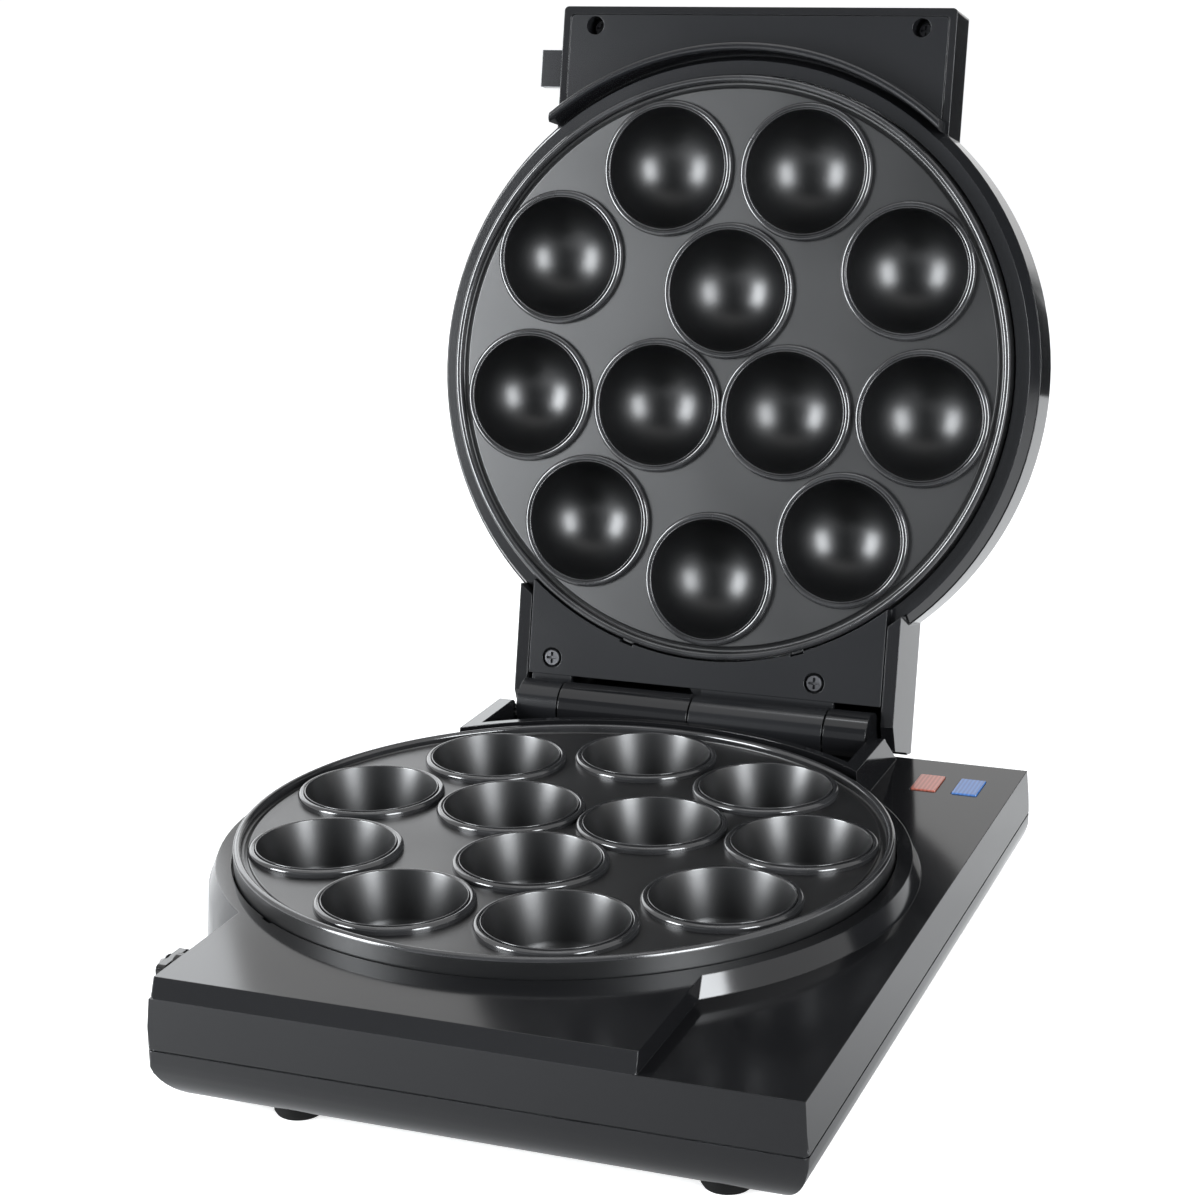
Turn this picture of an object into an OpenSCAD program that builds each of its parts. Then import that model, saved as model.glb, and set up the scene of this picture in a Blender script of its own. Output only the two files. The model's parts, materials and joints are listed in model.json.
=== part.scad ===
// Cake pop maker: a countertop cooker with a hinged lid and twelve ball cavities.
// Millimetres, +Z up. The origin is on the table, under the middle of the part's box, with the
// lid standing open. The pieces are laid out in the lower plate's own place: its centre is the
// middle of the plane of the cavity lips. The lid is laid out closed and then swung open.

/* [Plates] */
// Radius of a ball cavity at its lip
cavity_r = 19; // [17:0.5:19.5]
// Radius of the circle that the outer cavities stand on
outer_ring_r = 66; // [64:0.5:67]
// Radius of the circle that the inner cavities stand on
inner_ring_r = 24.6; // [24:0.2:25.4]
// Number of outer cavities
outer_count = 9; // [6:1:9]
// Number of inner cavities
inner_count = 3; // [1:1:3]
// Outer radius of a plate
plate_r = 91.4; // [90.4:0.2:96]
// Thickness of the cast plate and of the cups
plate_t = 2.2; // [2:0.1:2.6]
// Height of the cavity lips above the plate's flat
lip_h = 2; // [1.5:0.1:3]
// Width of the plate's raised rim
rim_w = 2.2; // [1.8:0.1:3]
// Height of the plate's outer rim
rim_h = 16; // [15.5:0.5:17]
// Width of a lip
lip_w = 0.7; // [0.5:0.1:1]
// Radius of the bead round a lip
bead_r = 0.85; // [0.6:0.05:1]

/* [Heating] */
// Radius of the circle that the heating tube follows
element_r = 47; // [46:0.5:48]
// Radius of the heating tube
element_tube_r = 3.3; // [2.8:0.1:3.6]
// Half of the angle left open between the tube's ends
element_open = 14; // [10:1:20]
// Thickness of the reflector sheet
sheet_t = 1; // [0.6:0.1:1.2]
// Radius of the reflector's drawn pan
pan_r = 84; // [83:0.5:86]

/* [Housing] */
// Wall of the plastic housings
wall = 2.4; // [2:0.1:3]
// Gap between a plate's rim and the housing round it
rim_gap = 0.6; // [0.4:0.1:1]
// Width of the flat ring round a plate
ring_w = 4.3; // [3.8:0.1:6]
// Depth of the ring below the plate's lips
ring_drop = 5.5; // [5:0.5:6.5]
// How far the sloped wall round the ring leans out
slope_out = 2.2; // [1.5:0.1:3]
// Height of the sloped wall round the ring
step_h = 5.3; // [4.5:0.1:6]
// Half of the width of the front block
block_half_w = 64.7; // [62:0.1:70]
// Reach of the deck past the ring at the front
front_reach = 20.2; // [18:0.1:26]
// Reach of the side shelf past the round wall
shelf_reach = 6.7; // [5:0.1:15]
// Height of the upper housing below the shelf
skirt_h = 13.2; // [12:0.1:18]
// How far the skirt leans out towards its lower edge
skirt_draft = 1; // [0.5:0.1:1.5]
// Height of the lower housing
tub_h = 16.5; // [15:0.5:24]
// Radius of the lower housing's bottom edge
tub_edge_r = 15; // [8:0.5:15]
// Depth and height of the shadow line between the housings
seam = 0.5; // [0.3:0.1:0.8]
// Radius of the upright corners
corner_r = 1.5; // [1.5:0.5:4]
// Height of a foot below the housing
foot_h = 3; // [2:0.5:5]
// Radius of a foot
foot_r = 6.5; // [5:0.5:8]

/* [Lamps] */
// Width of a lamp lens
lens_w = 7.6; // [6:0.1:9]
// Length of a lamp lens
lens_l = 13.4; // [10:0.1:16]
// Spacing of the two lenses
lens_pitch = 12.5; // [11:0.1:14]
// From the right edge of the shelf to the middle of the nearer lens
lens_inset = 13.3; // [9:0.1:16]

/* [Hinge] */
// From the round wall to the hinge axis
hinge_reach = 11.95; // [11:0.05:14]
// Depth of the hinge axis below the lower plate's lips
hinge_drop = 3.33; // [3:0.01:4]
// Radius of a hinge knuckle
knuckle_r = 8; // [6:0.1:8.2]
// Half of the length of the row of knuckles
knuckle_half = 57.8; // [50:0.1:57.8]
// Length of each end knuckle
end_knuckle = 13.5; // [10:0.5:20]
// Gap between knuckles
knuckle_gap = 0.6; // [0.4:0.1:1]
// Radius of the hinge pin
pin_r = 2.5; // [2:0.1:3]
// Radial clearance of the hinge pin in the lid's knuckles
pin_gap = 0.05; // [0.02:0.01:0.1]

/* [Lid] */
// Angle from closed to the open stop
lid_open = 102.25; // [90:0.25:104]
// Gap between the lips of the two plates when closed
close_gap = 0.3; // [0.2:0.1:1]
// Space between the upper reflector and the lid's top
lid_space = 8.1; // [7.2:0.1:16]
// Height of the lid's rim above its plate's lips
lid_rim = 10.4; // [9.8:0.1:11.5]
// Radius of the lid's top edge
lid_edge_r = 6; // [3:0.5:8]
// Height of the heat lip that stands between the grip and the plates
guard_h = 10.4; // [6:0.1:10.4]
// From the lid's round wall to the outside of the heat lip
guard_reach = 2.8; // [2.5:0.1:4.5]

/* [Latch] */
// Width of the latch lever
lever_w = 13.2; // [11:0.1:14]
// Thickness of the latch lever's arm
lever_t = 2.4; // [2:0.1:3]
// Radius of the lever's pivot
pivot_r = 2; // [1.5:0.1:2.5]
// Width of the lug that the lever hooks over
lug_w = 11.8; // [10:0.1:13]
// Thickness of the lug
lug_t = 4; // [3:0.1:5]

/* [Hidden] */

// Overlap of shapes joined within one piece, and overshoot of cuts
eps = 0.01;
over = 1;

// Round outlines
opening_r = plate_r + rim_gap;
ring_r = opening_r + ring_w;
wall_r = ring_r + slope_out;
cup_r = cavity_r + plate_t;

// Levels of the base, from the lips' plane
deck_z = -ring_drop;
shelf_z = deck_z - step_h;
part_z = shelf_z - skirt_h;
floor_z = part_z - tub_h;
foot_z = floor_z - foot_h;
flat_z = -lip_h;

// Outline of the base
slab_left = -block_half_w + 1.5;
block_lean = 0.8;
slab_right = wall_r + shelf_reach;
front_top = -(ring_r + front_reach);
front_y = front_top - slope_out + 0.4;
hinge_y = wall_r + hinge_reach;
hinge_z = -hinge_drop;
back_y = hinge_y + 6.75;

// Reflector and heating tube
reflector_top = cup_r + 1.2;
flange_r = opening_r + wall;
element_drop = sqrt(pow(cup_r + element_tube_r + 0.3, 2) - pow(outer_ring_r - element_r, 2));
element_pin_r = element_tube_r + 0.3;
boss_ring_r = 78;
boss_turn = 180 / outer_count;
ear_ring_r = ring_r + 3.2;
lower_ears = [-120, -60, 15];
upper_ears = [-120, -60, 90];
ear_r = 4.5;

// Locating tabs of the plates
lower_tabs = [-125];
upper_tabs = [70.4, 106.3];
tab_w = 4;
tab_reach = 1;

// Screws
shank_r = 1.5;
pilot_gap = 0.05;
head_r = 3;
head_h = 2;

// Hinge block of the base
cheek_in = knuckle_half + 1.4;
cheek_out = block_half_w - 1;
cheek_z = -0.5;
well_z = hinge_z - knuckle_r - 2;
knuckles = [
    [-knuckle_half, -knuckle_half + end_knuckle],
    [-knuckle_half + end_knuckle + knuckle_gap, -knuckle_gap / 2],
    [knuckle_gap / 2, knuckle_half - end_knuckle - knuckle_gap],
    [knuckle_half - end_knuckle, knuckle_half]
];
pin_stop = 2;
lid_knuckles = [knuckles[0], knuckles[2]];
base_knuckles = [knuckles[1], knuckles[3]];

// Lid, laid out closed with its own lips at height 0
lid_wall_r = wall_r + 0.3;
lid_half_w = block_half_w - 0.2;
lid_front = front_top + 3;
lid_rear = back_y + 0.3;
lid_tail_half = cheek_out - 0.2;
strip_in = knuckle_half + 1.6;
panel_gap = 0.5;
lid_h = reflector_top + sheet_t + lid_space;
lid_hinge_z = hinge_z - close_gap;
tail_side = [
    [0, 0], [hinge_y - 3.5, 0], [hinge_y + 4.4, 5.1], [lid_rear, 26], [lid_rear, lid_h], [0, lid_h]
];
guard_r = wall_r + guard_reach;
guard_t = 2.5;
panel_t = wall;
front_screw = [block_half_w - 11.1, lid_front + 6];
front_head_r = 2.6;
front_hole_r = front_head_r + 0.3;
rear_screws = [
    [-knuckle_half + 6.7, hinge_y - 14.85],
    [knuckle_half - 20.6, hinge_y - 14.85]
];

// Latch on the left wall
pivot_y = front_y + 16.7;
pivot_z = shelf_z + 1;
lug_y = lid_front + 19.7;
lug_z = lid_rim + 0.4;
lug_out = 7;
arm_x = slab_left - skirt_draft - 0.4;
rosette_r = 9;
rosette_t = 2;
hook_gap = 0.4;
hook_in = lug_z + lug_t + close_gap - pivot_z + 1.2 * hook_gap;
notch_v = lug_y - lug_w / 2 - pivot_y - hook_gap;

// Feet and case screws
foot_y = [front_y + 16.3, back_y - 18.2];
foot_x = [slab_left + 31.7, slab_right - 23.7];
foot_spots = [for (y = foot_y, x = foot_x) [x, y]];
screw_spots = [for (y = foot_y, x = [foot_x[0] + 14.5, foot_x[1] - 14.5]) [x, y]];
boss_r = 4.2;

// Where the layout stands on the table
lid_top_corner = [
    lid_front + lid_edge_r - hinge_y,
    lid_h - lid_edge_r + close_gap - hinge_z
];
open_reach = hinge_y + lid_top_corner[0] * cos(lid_open) + lid_top_corner[1] * sin(lid_open)
    + lid_edge_r;
shift = [
    -(slab_right - wall_r) / 2,
    -(open_reach + front_y - skirt_draft) / 2,
    -foot_z
];

$fn = 96;

module in_place() {
    translate(shift) children();
}

module on_lid() {
    in_place()
        translate([0, hinge_y, hinge_z])
            rotate([-lid_open, 0, 0])
                translate([0, -hinge_y, -hinge_z + close_gap])
                    children();
}

// The upper plate and what is fixed to it are the lower ones turned over
module turned_over() {
    mirror([0, 0, 1]) children();
}

// A flat shape drawn in x and z, carried from y0 to y1
module along_y(y0, y1) {
    translate([0, y1, 0])
        rotate([90, 0, 0])
            linear_extrude(y1 - y0)
                children();
}

// A flat shape drawn in y and z, carried from x0 to x1
module along_x(x0, x1) {
    translate([x0, 0, 0])
        rotate([90, 0, 90])
            linear_extrude(x1 - x0)
                children();
}

// A rectangle with its two upper corners round
module arch_2d(a0, a1, b0, b1, r) {
    translate([a0, b0]) square([a1 - a0, b1 - b0 - r]);
    translate([a0 + r, b0]) square([a1 - a0 - 2 * r, b1 - b0]);
    for (a = [a0 + r, a1 - r])
        translate([a, b1 - r]) circle(r);
}

// A rectangle with its two lower corners round
module bowl_2d(a0, a1, b0, b1, r) {
    translate([a0, b0 + r]) square([a1 - a0, b1 - b0 - r]);
    translate([a0 + r, b0]) square([a1 - a0 - 2 * r, b1 - b0]);
    intersection() {
        translate([a0, b0]) square([a1 - a0, b1 - b0]);
        for (a = [a0 + r, a1 - r])
            translate([a, b0 + r]) circle(r);
    }
}

// A rectangle with four round corners
module plan_2d(x0, x1, y0, y1, r) {
    translate([x0 + r, y0]) square([x1 - x0 - 2 * r, y1 - y0]);
    translate([x0, y0 + r]) square([x1 - x0, y1 - y0 - 2 * r]);
    for (x = [x0 + r, x1 - r], y = [y0 + r, y1 - r])
        translate([x, y]) circle(r);
}

module tube(r_out, r_in, z0, z1) {
    difference() {
        translate([0, 0, z0]) cylinder(h = z1 - z0, r = r_out);
        translate([0, 0, z0 - over]) cylinder(h = z1 - z0 + 2 * over, r = r_in);
    }
}

module at_angle(radius, angle) {
    translate([radius * cos(angle), radius * sin(angle), 0]) children();
}

// The places of all cavities; the first outer one is nearest the hinge
module each_cavity() {
    for (k = [0 : outer_count - 1])
        at_angle(outer_ring_r, 90 + k * 360 / outer_count) children();
    for (k = [0 : inner_count - 1])
        at_angle(inner_ring_r, -90 + k * 360 / inner_count) children();
}

module each_boss() {
    for (k = [0, 3, 6])
        at_angle(boss_ring_r, 90 + boss_turn + k * 2 * boss_turn) children();
}

// A screw with its head's underside at z = 0 and its shank going up
module screw(length, r = shank_r, head = head_r) {
    cylinder(h = length, r = r);
    difference() {
        translate([0, 0, -head_h]) cylinder(h = head_h, r1 = head - 0.6, r2 = head);
        cross_recess(head);
    }
}

module cross_recess(head) {
    for (turn = [0, 90])
        rotate([0, 0, turn])
            translate([-head * 0.6, -0.4, -head_h - over])
                cube([head * 1.2, 0.8, over + head_h * 0.6]);
}

// One cavity: a cast cup with a thin lip and a bead round it
module cup() {
    bead_in = cavity_r + lip_w - 0.05;
    bead_top = -0.1;
    chamfer = 0.6 * bead_r;
    rotate_extrude() {
        difference() {
            intersection() {
                circle(cup_r);
                translate([0, -cup_r]) square([cup_r, cup_r - lip_h]);
            }
            circle(cavity_r);
        }
        difference() {
            translate([cavity_r - lip_w, flat_z - eps]) square([2 * lip_w, lip_h + eps]);
            circle(cavity_r);
        }
        polygon([
            [bead_in, flat_z - eps], [bead_in + 2 * bead_r, flat_z - eps],
            [bead_in + 2 * bead_r, bead_top - chamfer], [bead_in + 2 * bead_r - chamfer, bead_top],
            [bead_in + chamfer, bead_top], [bead_in, bead_top - chamfer]
        ]);
    }
}

// The rim has small locating tabs at the angles given
module plate(tabs) {
    gutter = [1.8, 0.6];
    chamfer = 0.35 * rim_w;
    difference() {
        union() {
            rotate_extrude() {
                difference() {
                    translate([0, flat_z - plate_t]) square([plate_r - rim_w / 2, plate_t]);
                    translate([plate_r - rim_w - gutter[0], flat_z - gutter[1]]) square(gutter);
                }
                polygon([
                    [plate_r - rim_w, -rim_h], [plate_r, -rim_h], [plate_r, -chamfer],
                    [plate_r - chamfer, 0], [plate_r - rim_w + chamfer, 0],
                    [plate_r - rim_w, -chamfer]
                ]);
            }
            each_boss()
                translate([0, 0, -reflector_top])
                    cylinder(h = reflector_top - lip_h - eps, r = boss_r);
            for (a = tabs)
                rotate([0, 0, a])
                    translate([plate_r - rim_w, -tab_w / 2, -rim_h])
                        cube([rim_w + tab_reach, tab_w, rim_h - 1.4]);
        }
        each_cavity()
            translate([0, 0, flat_z - plate_t - over])
                cylinder(h = plate_t + 2 * over, r = cavity_r + plate_t / 2);
        each_boss()
            translate([0, 0, -reflector_top - over])
                cylinder(h = 9 + over, r = shank_r + pilot_gap);
    }
    each_cavity() cup();
}

// The notches for a plate's tabs in the ring round it
module tab_notches(tabs) {
    for (a = tabs)
        rotate([0, 0, a])
            translate([plate_r - rim_w, -tab_w / 2 - 0.3, -rim_h - over])
                cube([rim_w + tab_reach + 0.3, tab_w + 0.6, rim_h + 2 * over]);
}

// The heating tube follows a circle between the cups and ends in two pins with blades
module element() {
    pin_reach = 9.5;
    blade = [4, 0.8, 5];
    translate([0, 0, -element_drop]) {
        rotate([0, 0, 90 + element_open])
            rotate_extrude(angle = 360 - 2 * element_open)
                translate([element_r, 0]) circle(element_tube_r);
        for (side = [-1, 1])
            at_angle(element_r, 90 + side * element_open) {
                translate([0, 0, -pin_reach])
                    cylinder(h = pin_reach + element_pin_r, r = element_pin_r);
                translate([-blade[0] / 2, -blade[1] / 2, -pin_reach - blade[2] / 2]) cube(blade);
            }
    }
}

// A drawn pan under the plate, with screw tabs, holes and pads for the heating tube
module reflector(ears) {
    flange_z = -rim_h - sheet_t;
    bottom_z = -reflector_top - sheet_t;
    pad_h = reflector_top - element_drop - element_tube_r;
    difference() {
        union() {
            rotate_extrude()
                polygon([
                    [0, bottom_z], [pan_r, bottom_z], [pan_r, flange_z], [flange_r, flange_z],
                    [flange_r, -rim_h], [pan_r - sheet_t, -rim_h],
                    [pan_r - sheet_t, -reflector_top], [0, -reflector_top]
                ]);
            for (a = ears)
                ear(a, flange_z);
            for (a = [-30, 90 + 2 * element_open, 210])
                at_angle(element_r, a)
                    translate([0, 0, -reflector_top - eps])
                        cylinder(h = pad_h + eps, r = 4);
        }
        each_boss()
            translate([0, 0, bottom_z - over]) cylinder(h = sheet_t + 2 * over, r = shank_r + 0.3);
        for (side = [-1, 1])
            at_angle(element_r, 90 + side * element_open)
                translate([0, 0, bottom_z - over])
                    cylinder(h = sheet_t + 2 * over, r = element_pin_r + 0.3);
        for (a = ears)
            at_angle(ear_ring_r, a)
                translate([0, 0, flange_z - over])
                    cylinder(h = sheet_t + 2 * over, r = shank_r + 0.3);
    }
}

// A round-ended screw tab on the reflector's flange
module ear(angle, z) {
    rotate([0, 0, angle])
        translate([0, 0, z])
            linear_extrude(sheet_t) {
                translate([ear_ring_r, 0]) circle(ear_r);
                translate([flange_r - 2, -ear_r]) square([ear_ring_r - flange_r + 2, 2 * ear_r]);
            }
}

module plate_screws() {
    each_boss()
        translate([0, 0, -reflector_top - sheet_t]) screw(8 + sheet_t);
}

module reflector_screws(ears) {
    for (a = ears)
        at_angle(ear_ring_r, a)
            translate([0, 0, -rim_h - sheet_t]) screw(5);
}

// A thermal fuse held flat on the reflector
module fuse() {
    fuse_r = 2;
    translate([20, -30, -reflector_top - sheet_t - fuse_r]) {
        rotate([0, 90, 0]) cylinder(h = 12, r = fuse_r);
        for (x = [-7, 12 - eps])
            translate([x, 0, 0]) rotate([0, 90, 0]) cylinder(h = 7, r = 0.5);
    }
}

// The solid outline of the lower housing, drawn in by inset
module tub_shape(inset, z_top) {
    r = min(tub_edge_r, tub_h - seam) - inset;
    out = skirt_draft - inset;
    z_low = floor_z + inset;
    intersection() {
        along_y(front_y - 2 * over, back_y + 2 * over)
            bowl_2d(slab_left - out, slab_right + out, z_low, z_top, r);
        along_x(slab_left - 2 * over, slab_right + 2 * over)
            bowl_2d(front_y - out, back_y + out, z_low, z_top, r);
        translate([0, 0, floor_z - over])
            linear_extrude(tub_h + 2 * over)
                plan_2d(slab_left - out, slab_right + out, front_y - out, back_y + out, corner_r);
    }
    rotate_extrude()
        intersection() {
            bowl_2d(-wall_r - out, wall_r + out, z_low, z_top, r);
            translate([0, z_low]) square([2 * wall_r, tub_h + 2 * over]);
        }
}

module lower_housing() {
    color([0.07, 0.07, 0.075])
        in_place()
            difference() {
                union() {
                    difference() {
                        union() {
                            tub_shape(0, part_z - seam);
                            tub_shape(seam, part_z);
                        }
                        tub_shape(wall, part_z + over);
                    }
                    intersection() {
                        tub_shape(0, part_z);
                        union() {
                            for (p = screw_spots)
                                translate([p[0], p[1], floor_z])
                                    cylinder(h = tub_h, r = head_r + 1.2 + 1.6);
                            for (p = foot_spots)
                                translate([p[0], p[1], floor_z]) cylinder(h = 4, r = foot_r + 2);
                        }
                    }
                }
                for (p = screw_spots)
                    translate([p[0], p[1], floor_z - over]) {
                        cylinder(h = over + tub_h - 8, r = head_r + 1.2);
                        cylinder(h = tub_h + 2 * over, r = shank_r + 0.3);
                    }
                for (p = foot_spots)
                    translate([p[0], p[1], floor_z - over]) cylinder(h = over + 1.5, r = foot_r + 0.1);
                vents();
            }
}

// Two rows of cooling slots in the bottom
module vents() {
    for (row = [-1, 1], k = [-3 : 3])
        translate([k * 7 - 1.5, row * 34 - 13, floor_z - over]) cube([3, 26, wall + 2 * over]);
}

// The solid outline of the upper housing, drawn in by inset; level lowers its tops
module deck_shape(inset, level, z_low) {
    out = skirt_draft - inset;
    span = [slab_left - 2 * over, slab_right + 2 * over];
    intersection() {
        along_y(front_y - 2 * over, back_y + 2 * over)
            polygon([
                [slab_left - out, z_low], [slab_right + out, z_low],
                [slab_right - inset, shelf_z - level], [slab_left + inset, shelf_z - level]
            ]);
        along_x(span[0], span[1])
            polygon([
                [front_y - out, z_low], [back_y + out, z_low],
                [back_y - inset, shelf_z - level], [front_y + inset, shelf_z - level]
            ]);
        translate([0, 0, z_low - over])
            linear_extrude(2 * skirt_h)
                plan_2d(slab_left - out, slab_right + out, front_y - out, back_y + out, corner_r);
    }
    rotate_extrude()
        polygon([
            [0, z_low], [wall_r + out, z_low], [wall_r - inset, shelf_z - level],
            [ring_r - inset, deck_z - level], [0, deck_z - level]
        ]);
    intersection() {
        along_y(front_y - 2 * over, 0)
            polygon([
                [slab_left + inset, part_z], [block_half_w + 0.3 - inset, part_z],
                [block_half_w - inset, deck_z - level], [slab_left + block_lean + inset, deck_z - level]
            ]);
        along_x(span[0], span[1])
            polygon([
                [front_y + inset, part_z], [0, part_z], [0, deck_z - level],
                [front_top + inset, deck_z - level], [front_y + inset, shelf_z - level]
            ]);
        translate([0, 0, part_z])
            linear_extrude(skirt_h + step_h)
                plan_2d(slab_left + inset, block_half_w + 0.3 - inset, front_y + inset, corner_r, corner_r);
    }
}

// The block behind the plate that carries the hinge, with a cheek at each side
module cheeks(inset, level) {
    slope_y = hinge_y - 6;
    intersection() {
        along_y(0, back_y)
            polygon([
                [-cheek_out - 1 + inset, part_z], [cheek_out + 1 - inset, part_z],
                [cheek_out + 1 - inset, shelf_z], [cheek_out - inset, cheek_z - level],
                [-cheek_out + inset, cheek_z - level], [-cheek_out - 1 + inset, shelf_z]
            ]);
        along_x(-block_half_w - over, block_half_w + over)
            union() {
                polygon([
                    [0, part_z], [back_y, part_z], [back_y, shelf_z - level],
                    [back_y - 2.2, shelf_z - level], [slope_y + 1.6, cheek_z - 2.4 - level],
                    [slope_y - 1.8, cheek_z - level], [0, cheek_z - level]
                ]);
                translate([slope_y - 1.8, cheek_z - 2.6 - level]) circle(2.6);
            }
        difference() {
            translate([-wall_r, 0, part_z]) cube([2 * wall_r, back_y, -part_z]);
            translate([0, 0, deck_z - level]) cylinder(h = ring_drop + 2 * level + over, r = ring_r - 0.4);
        }
    }
}

// The well that the knuckles turn in, grown on its sides and floor by wall
module well(grow) {
    difference() {
        translate([-cheek_in - grow, 0, well_z - grow])
            cube([2 * (cheek_in + grow), back_y - wall + grow, -well_z + grow + over]);
        translate([0, 0, well_z - grow - over])
            cylinder(h = -well_z + grow + 3 * over, r = wall_r - grow + eps);
    }
}

// The bore stops short of the right end of the row
module knuckle_row(spans, bore_r, z) {
    difference() {
        for (s = spans)
            along_x(s[0], s[1])
                translate([hinge_y, z]) circle(knuckle_r);
        along_x(-knuckle_half - over, knuckle_half - pin_stop)
            translate([hinge_y, z]) circle(bore_r);
    }
}

// Where the grommet goes through the drafted back wall
module at_inlet() {
    lean = atan(skirt_draft / skirt_h);
    translate([slab_right - 20, back_y + skirt_draft / 2, shelf_z - skirt_h / 2])
        rotate([lean - 90, 0, 0])
            children();
}

module upper_housing() {
    color([0.09, 0.09, 0.095])
        in_place() {
            difference() {
                union() {
                    difference() {
                        union() {
                            deck_shape(0, 0, part_z);
                            cheeks(0, 0);
                        }
                        difference() {
                            union() {
                                deck_shape(wall, wall, part_z - over);
                                cheeks(wall, wall);
                            }
                            well(wall);
                        }
                    }
                    tube(flange_r, opening_r, -rim_h, deck_z - eps);
                    intersection() {
                        deck_shape(0, 0, part_z);
                        housing_bosses();
                    }
                    translate([slab_left - skirt_draft - 0.3, pivot_y, pivot_z])
                        rotate([0, 90, 0]) cylinder(h = 9, r = 4);
                }
                well(0);
                translate([-cheek_in, back_y - wall - over, shelf_z])
                    cube([2 * cheek_in, wall + 2 * over, -shelf_z + over]);
                translate([0, 0, -rim_h - over])
                    cylinder(h = rim_h + 2 * over, r = opening_r);
                tab_notches(lower_tabs);
                housing_pilots();
                for (side = [0, 1])
                    lens_hole(side);
                at_inlet()
                    translate([0, 0, -wall - 2 * over]) cylinder(h = wall + 4 * over, r = 4.3);
                translate([arm_x - over, pivot_y, pivot_z])
                    rotate([0, 90, 0]) cylinder(h = 9.5, r = shank_r + pilot_gap);
            }
            knuckle_row(base_knuckles, pin_r + pilot_gap, hinge_z);
            for (s = base_knuckles)
                translate([s[0], hinge_y - 5, well_z - eps]) cube([s[1] - s[0], 10, knuckle_r - 2]);
        }
}

module housing_bosses() {
    for (p = screw_spots)
        translate([p[0], p[1], part_z]) cylinder(h = -part_z, r = boss_r);
    for (a = lower_ears)
        at_angle(ear_ring_r, a)
            translate([0, 0, -rim_h]) cylinder(h = rim_h + deck_z - eps, r = ear_r);
}

module housing_pilots() {
    for (p = screw_spots)
        translate([p[0], p[1], part_z - over]) cylinder(h = 7 + over, r = shank_r + pilot_gap);
    for (a = lower_ears)
        at_angle(ear_ring_r, a)
            translate([0, 0, -rim_h - over]) cylinder(h = 5 + over, r = shank_r + pilot_gap);
}

module lower_plate() {
    color([0.16, 0.165, 0.175]) in_place() plate(lower_tabs);
}

module lower_element() {
    color([0.35, 0.35, 0.36]) in_place() element();
}

module lower_reflector() {
    color([0.7, 0.7, 0.7]) in_place() reflector(lower_ears);
}

module lower_plate_screws() {
    color([0.6, 0.6, 0.62]) in_place() plate_screws();
}

module lower_reflector_screws() {
    color([0.6, 0.6, 0.62]) in_place() reflector_screws(lower_ears);
}

module thermostat() {
    color([0.2, 0.2, 0.2])
        in_place()
            translate([0, 0, -reflector_top - sheet_t]) {
                translate([0, 0, -1.5]) cylinder(h = 1.5, r = 8);
                translate([0, 0, -7]) cylinder(h = 6, r = 7);
                for (side = [-1, 1])
                    translate([side * 4 - 0.4, -2, -12]) cube([0.8, 4, 6]);
            }
}

module lower_fuse() {
    color([0.75, 0.73, 0.68]) in_place() fuse();
}

module at_lens(side) {
    translate([slab_right - lens_inset - (1 - side) * lens_pitch, hinge_y - 14, shelf_z]) children();
}

module lens_hole(side) {
    fit = 0.15;
    at_lens(side)
        translate([-lens_w / 2 - fit, -lens_l / 2 - fit, -wall - over])
            cube([lens_w + 2 * fit, lens_l + 2 * fit, wall + 2 * over]);
}

// A lens stands 0.4 above the shelf, and its flange is behind it
module lens(side) {
    stand = 0.4;
    flange = 1.4;
    at_lens(side) {
        translate([0, 0, -wall - eps])
            linear_extrude(wall + stand + eps)
                plan_2d(-lens_w / 2, lens_w / 2, -lens_l / 2, lens_l / 2, 0.5);
        translate([-lens_w / 2 - flange, -lens_l / 2 - flange, -wall - 1.2])
            cube([lens_w + 2 * flange, lens_l + 2 * flange, 1.2]);
    }
}

module power_lens() {
    color([0.85, 0.45, 0.4]) in_place() lens(0);
}

module ready_lens() {
    color([0.3, 0.5, 0.8]) in_place() lens(1);
}

module lamp_holders() {
    color([0.85, 0.83, 0.78])
        in_place()
            for (side = [0, 1])
                at_lens(side)
                    translate([0, 0, -wall - 1.2 - 12]) {
                        cylinder(h = 12, r = 4);
                        for (x = [-1.5, 1.5])
                            translate([x, 0, -4]) cylinder(h = 4 + eps, r = 0.4);
                    }
}

module terminal_block() {
    block = [30, 15, 10];
    color([0.82, 0.8, 0.74])
        in_place()
            translate([20, 74, floor_z + wall])
                difference() {
                    cube(block);
                    for (k = [0 : 2]) {
                        translate([5 + k * 10, block[1] / 2, block[2] - 6])
                            cylinder(h = 6 + over, r = 1.8);
                        translate([5 + k * 10, -over, 4])
                            rotate([-90, 0, 0]) cylinder(h = block[1] + 2 * over, r = 1.5);
                    }
                }
}

module case_screws() {
    color([0.55, 0.55, 0.57])
        in_place()
            for (p = screw_spots)
                translate([p[0], p[1], floor_z + tub_h - 8]) screw(8 + 6.5);
}

module feet() {
    color([0.06, 0.06, 0.06])
        in_place()
            for (p = foot_spots)
                translate([p[0], p[1], foot_z]) {
                    cylinder(h = 1, r1 = foot_r - 0.6, r2 = foot_r);
                    translate([0, 0, 1 - eps]) cylinder(h = foot_h + 0.5 + eps, r = foot_r);
                }
}

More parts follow.
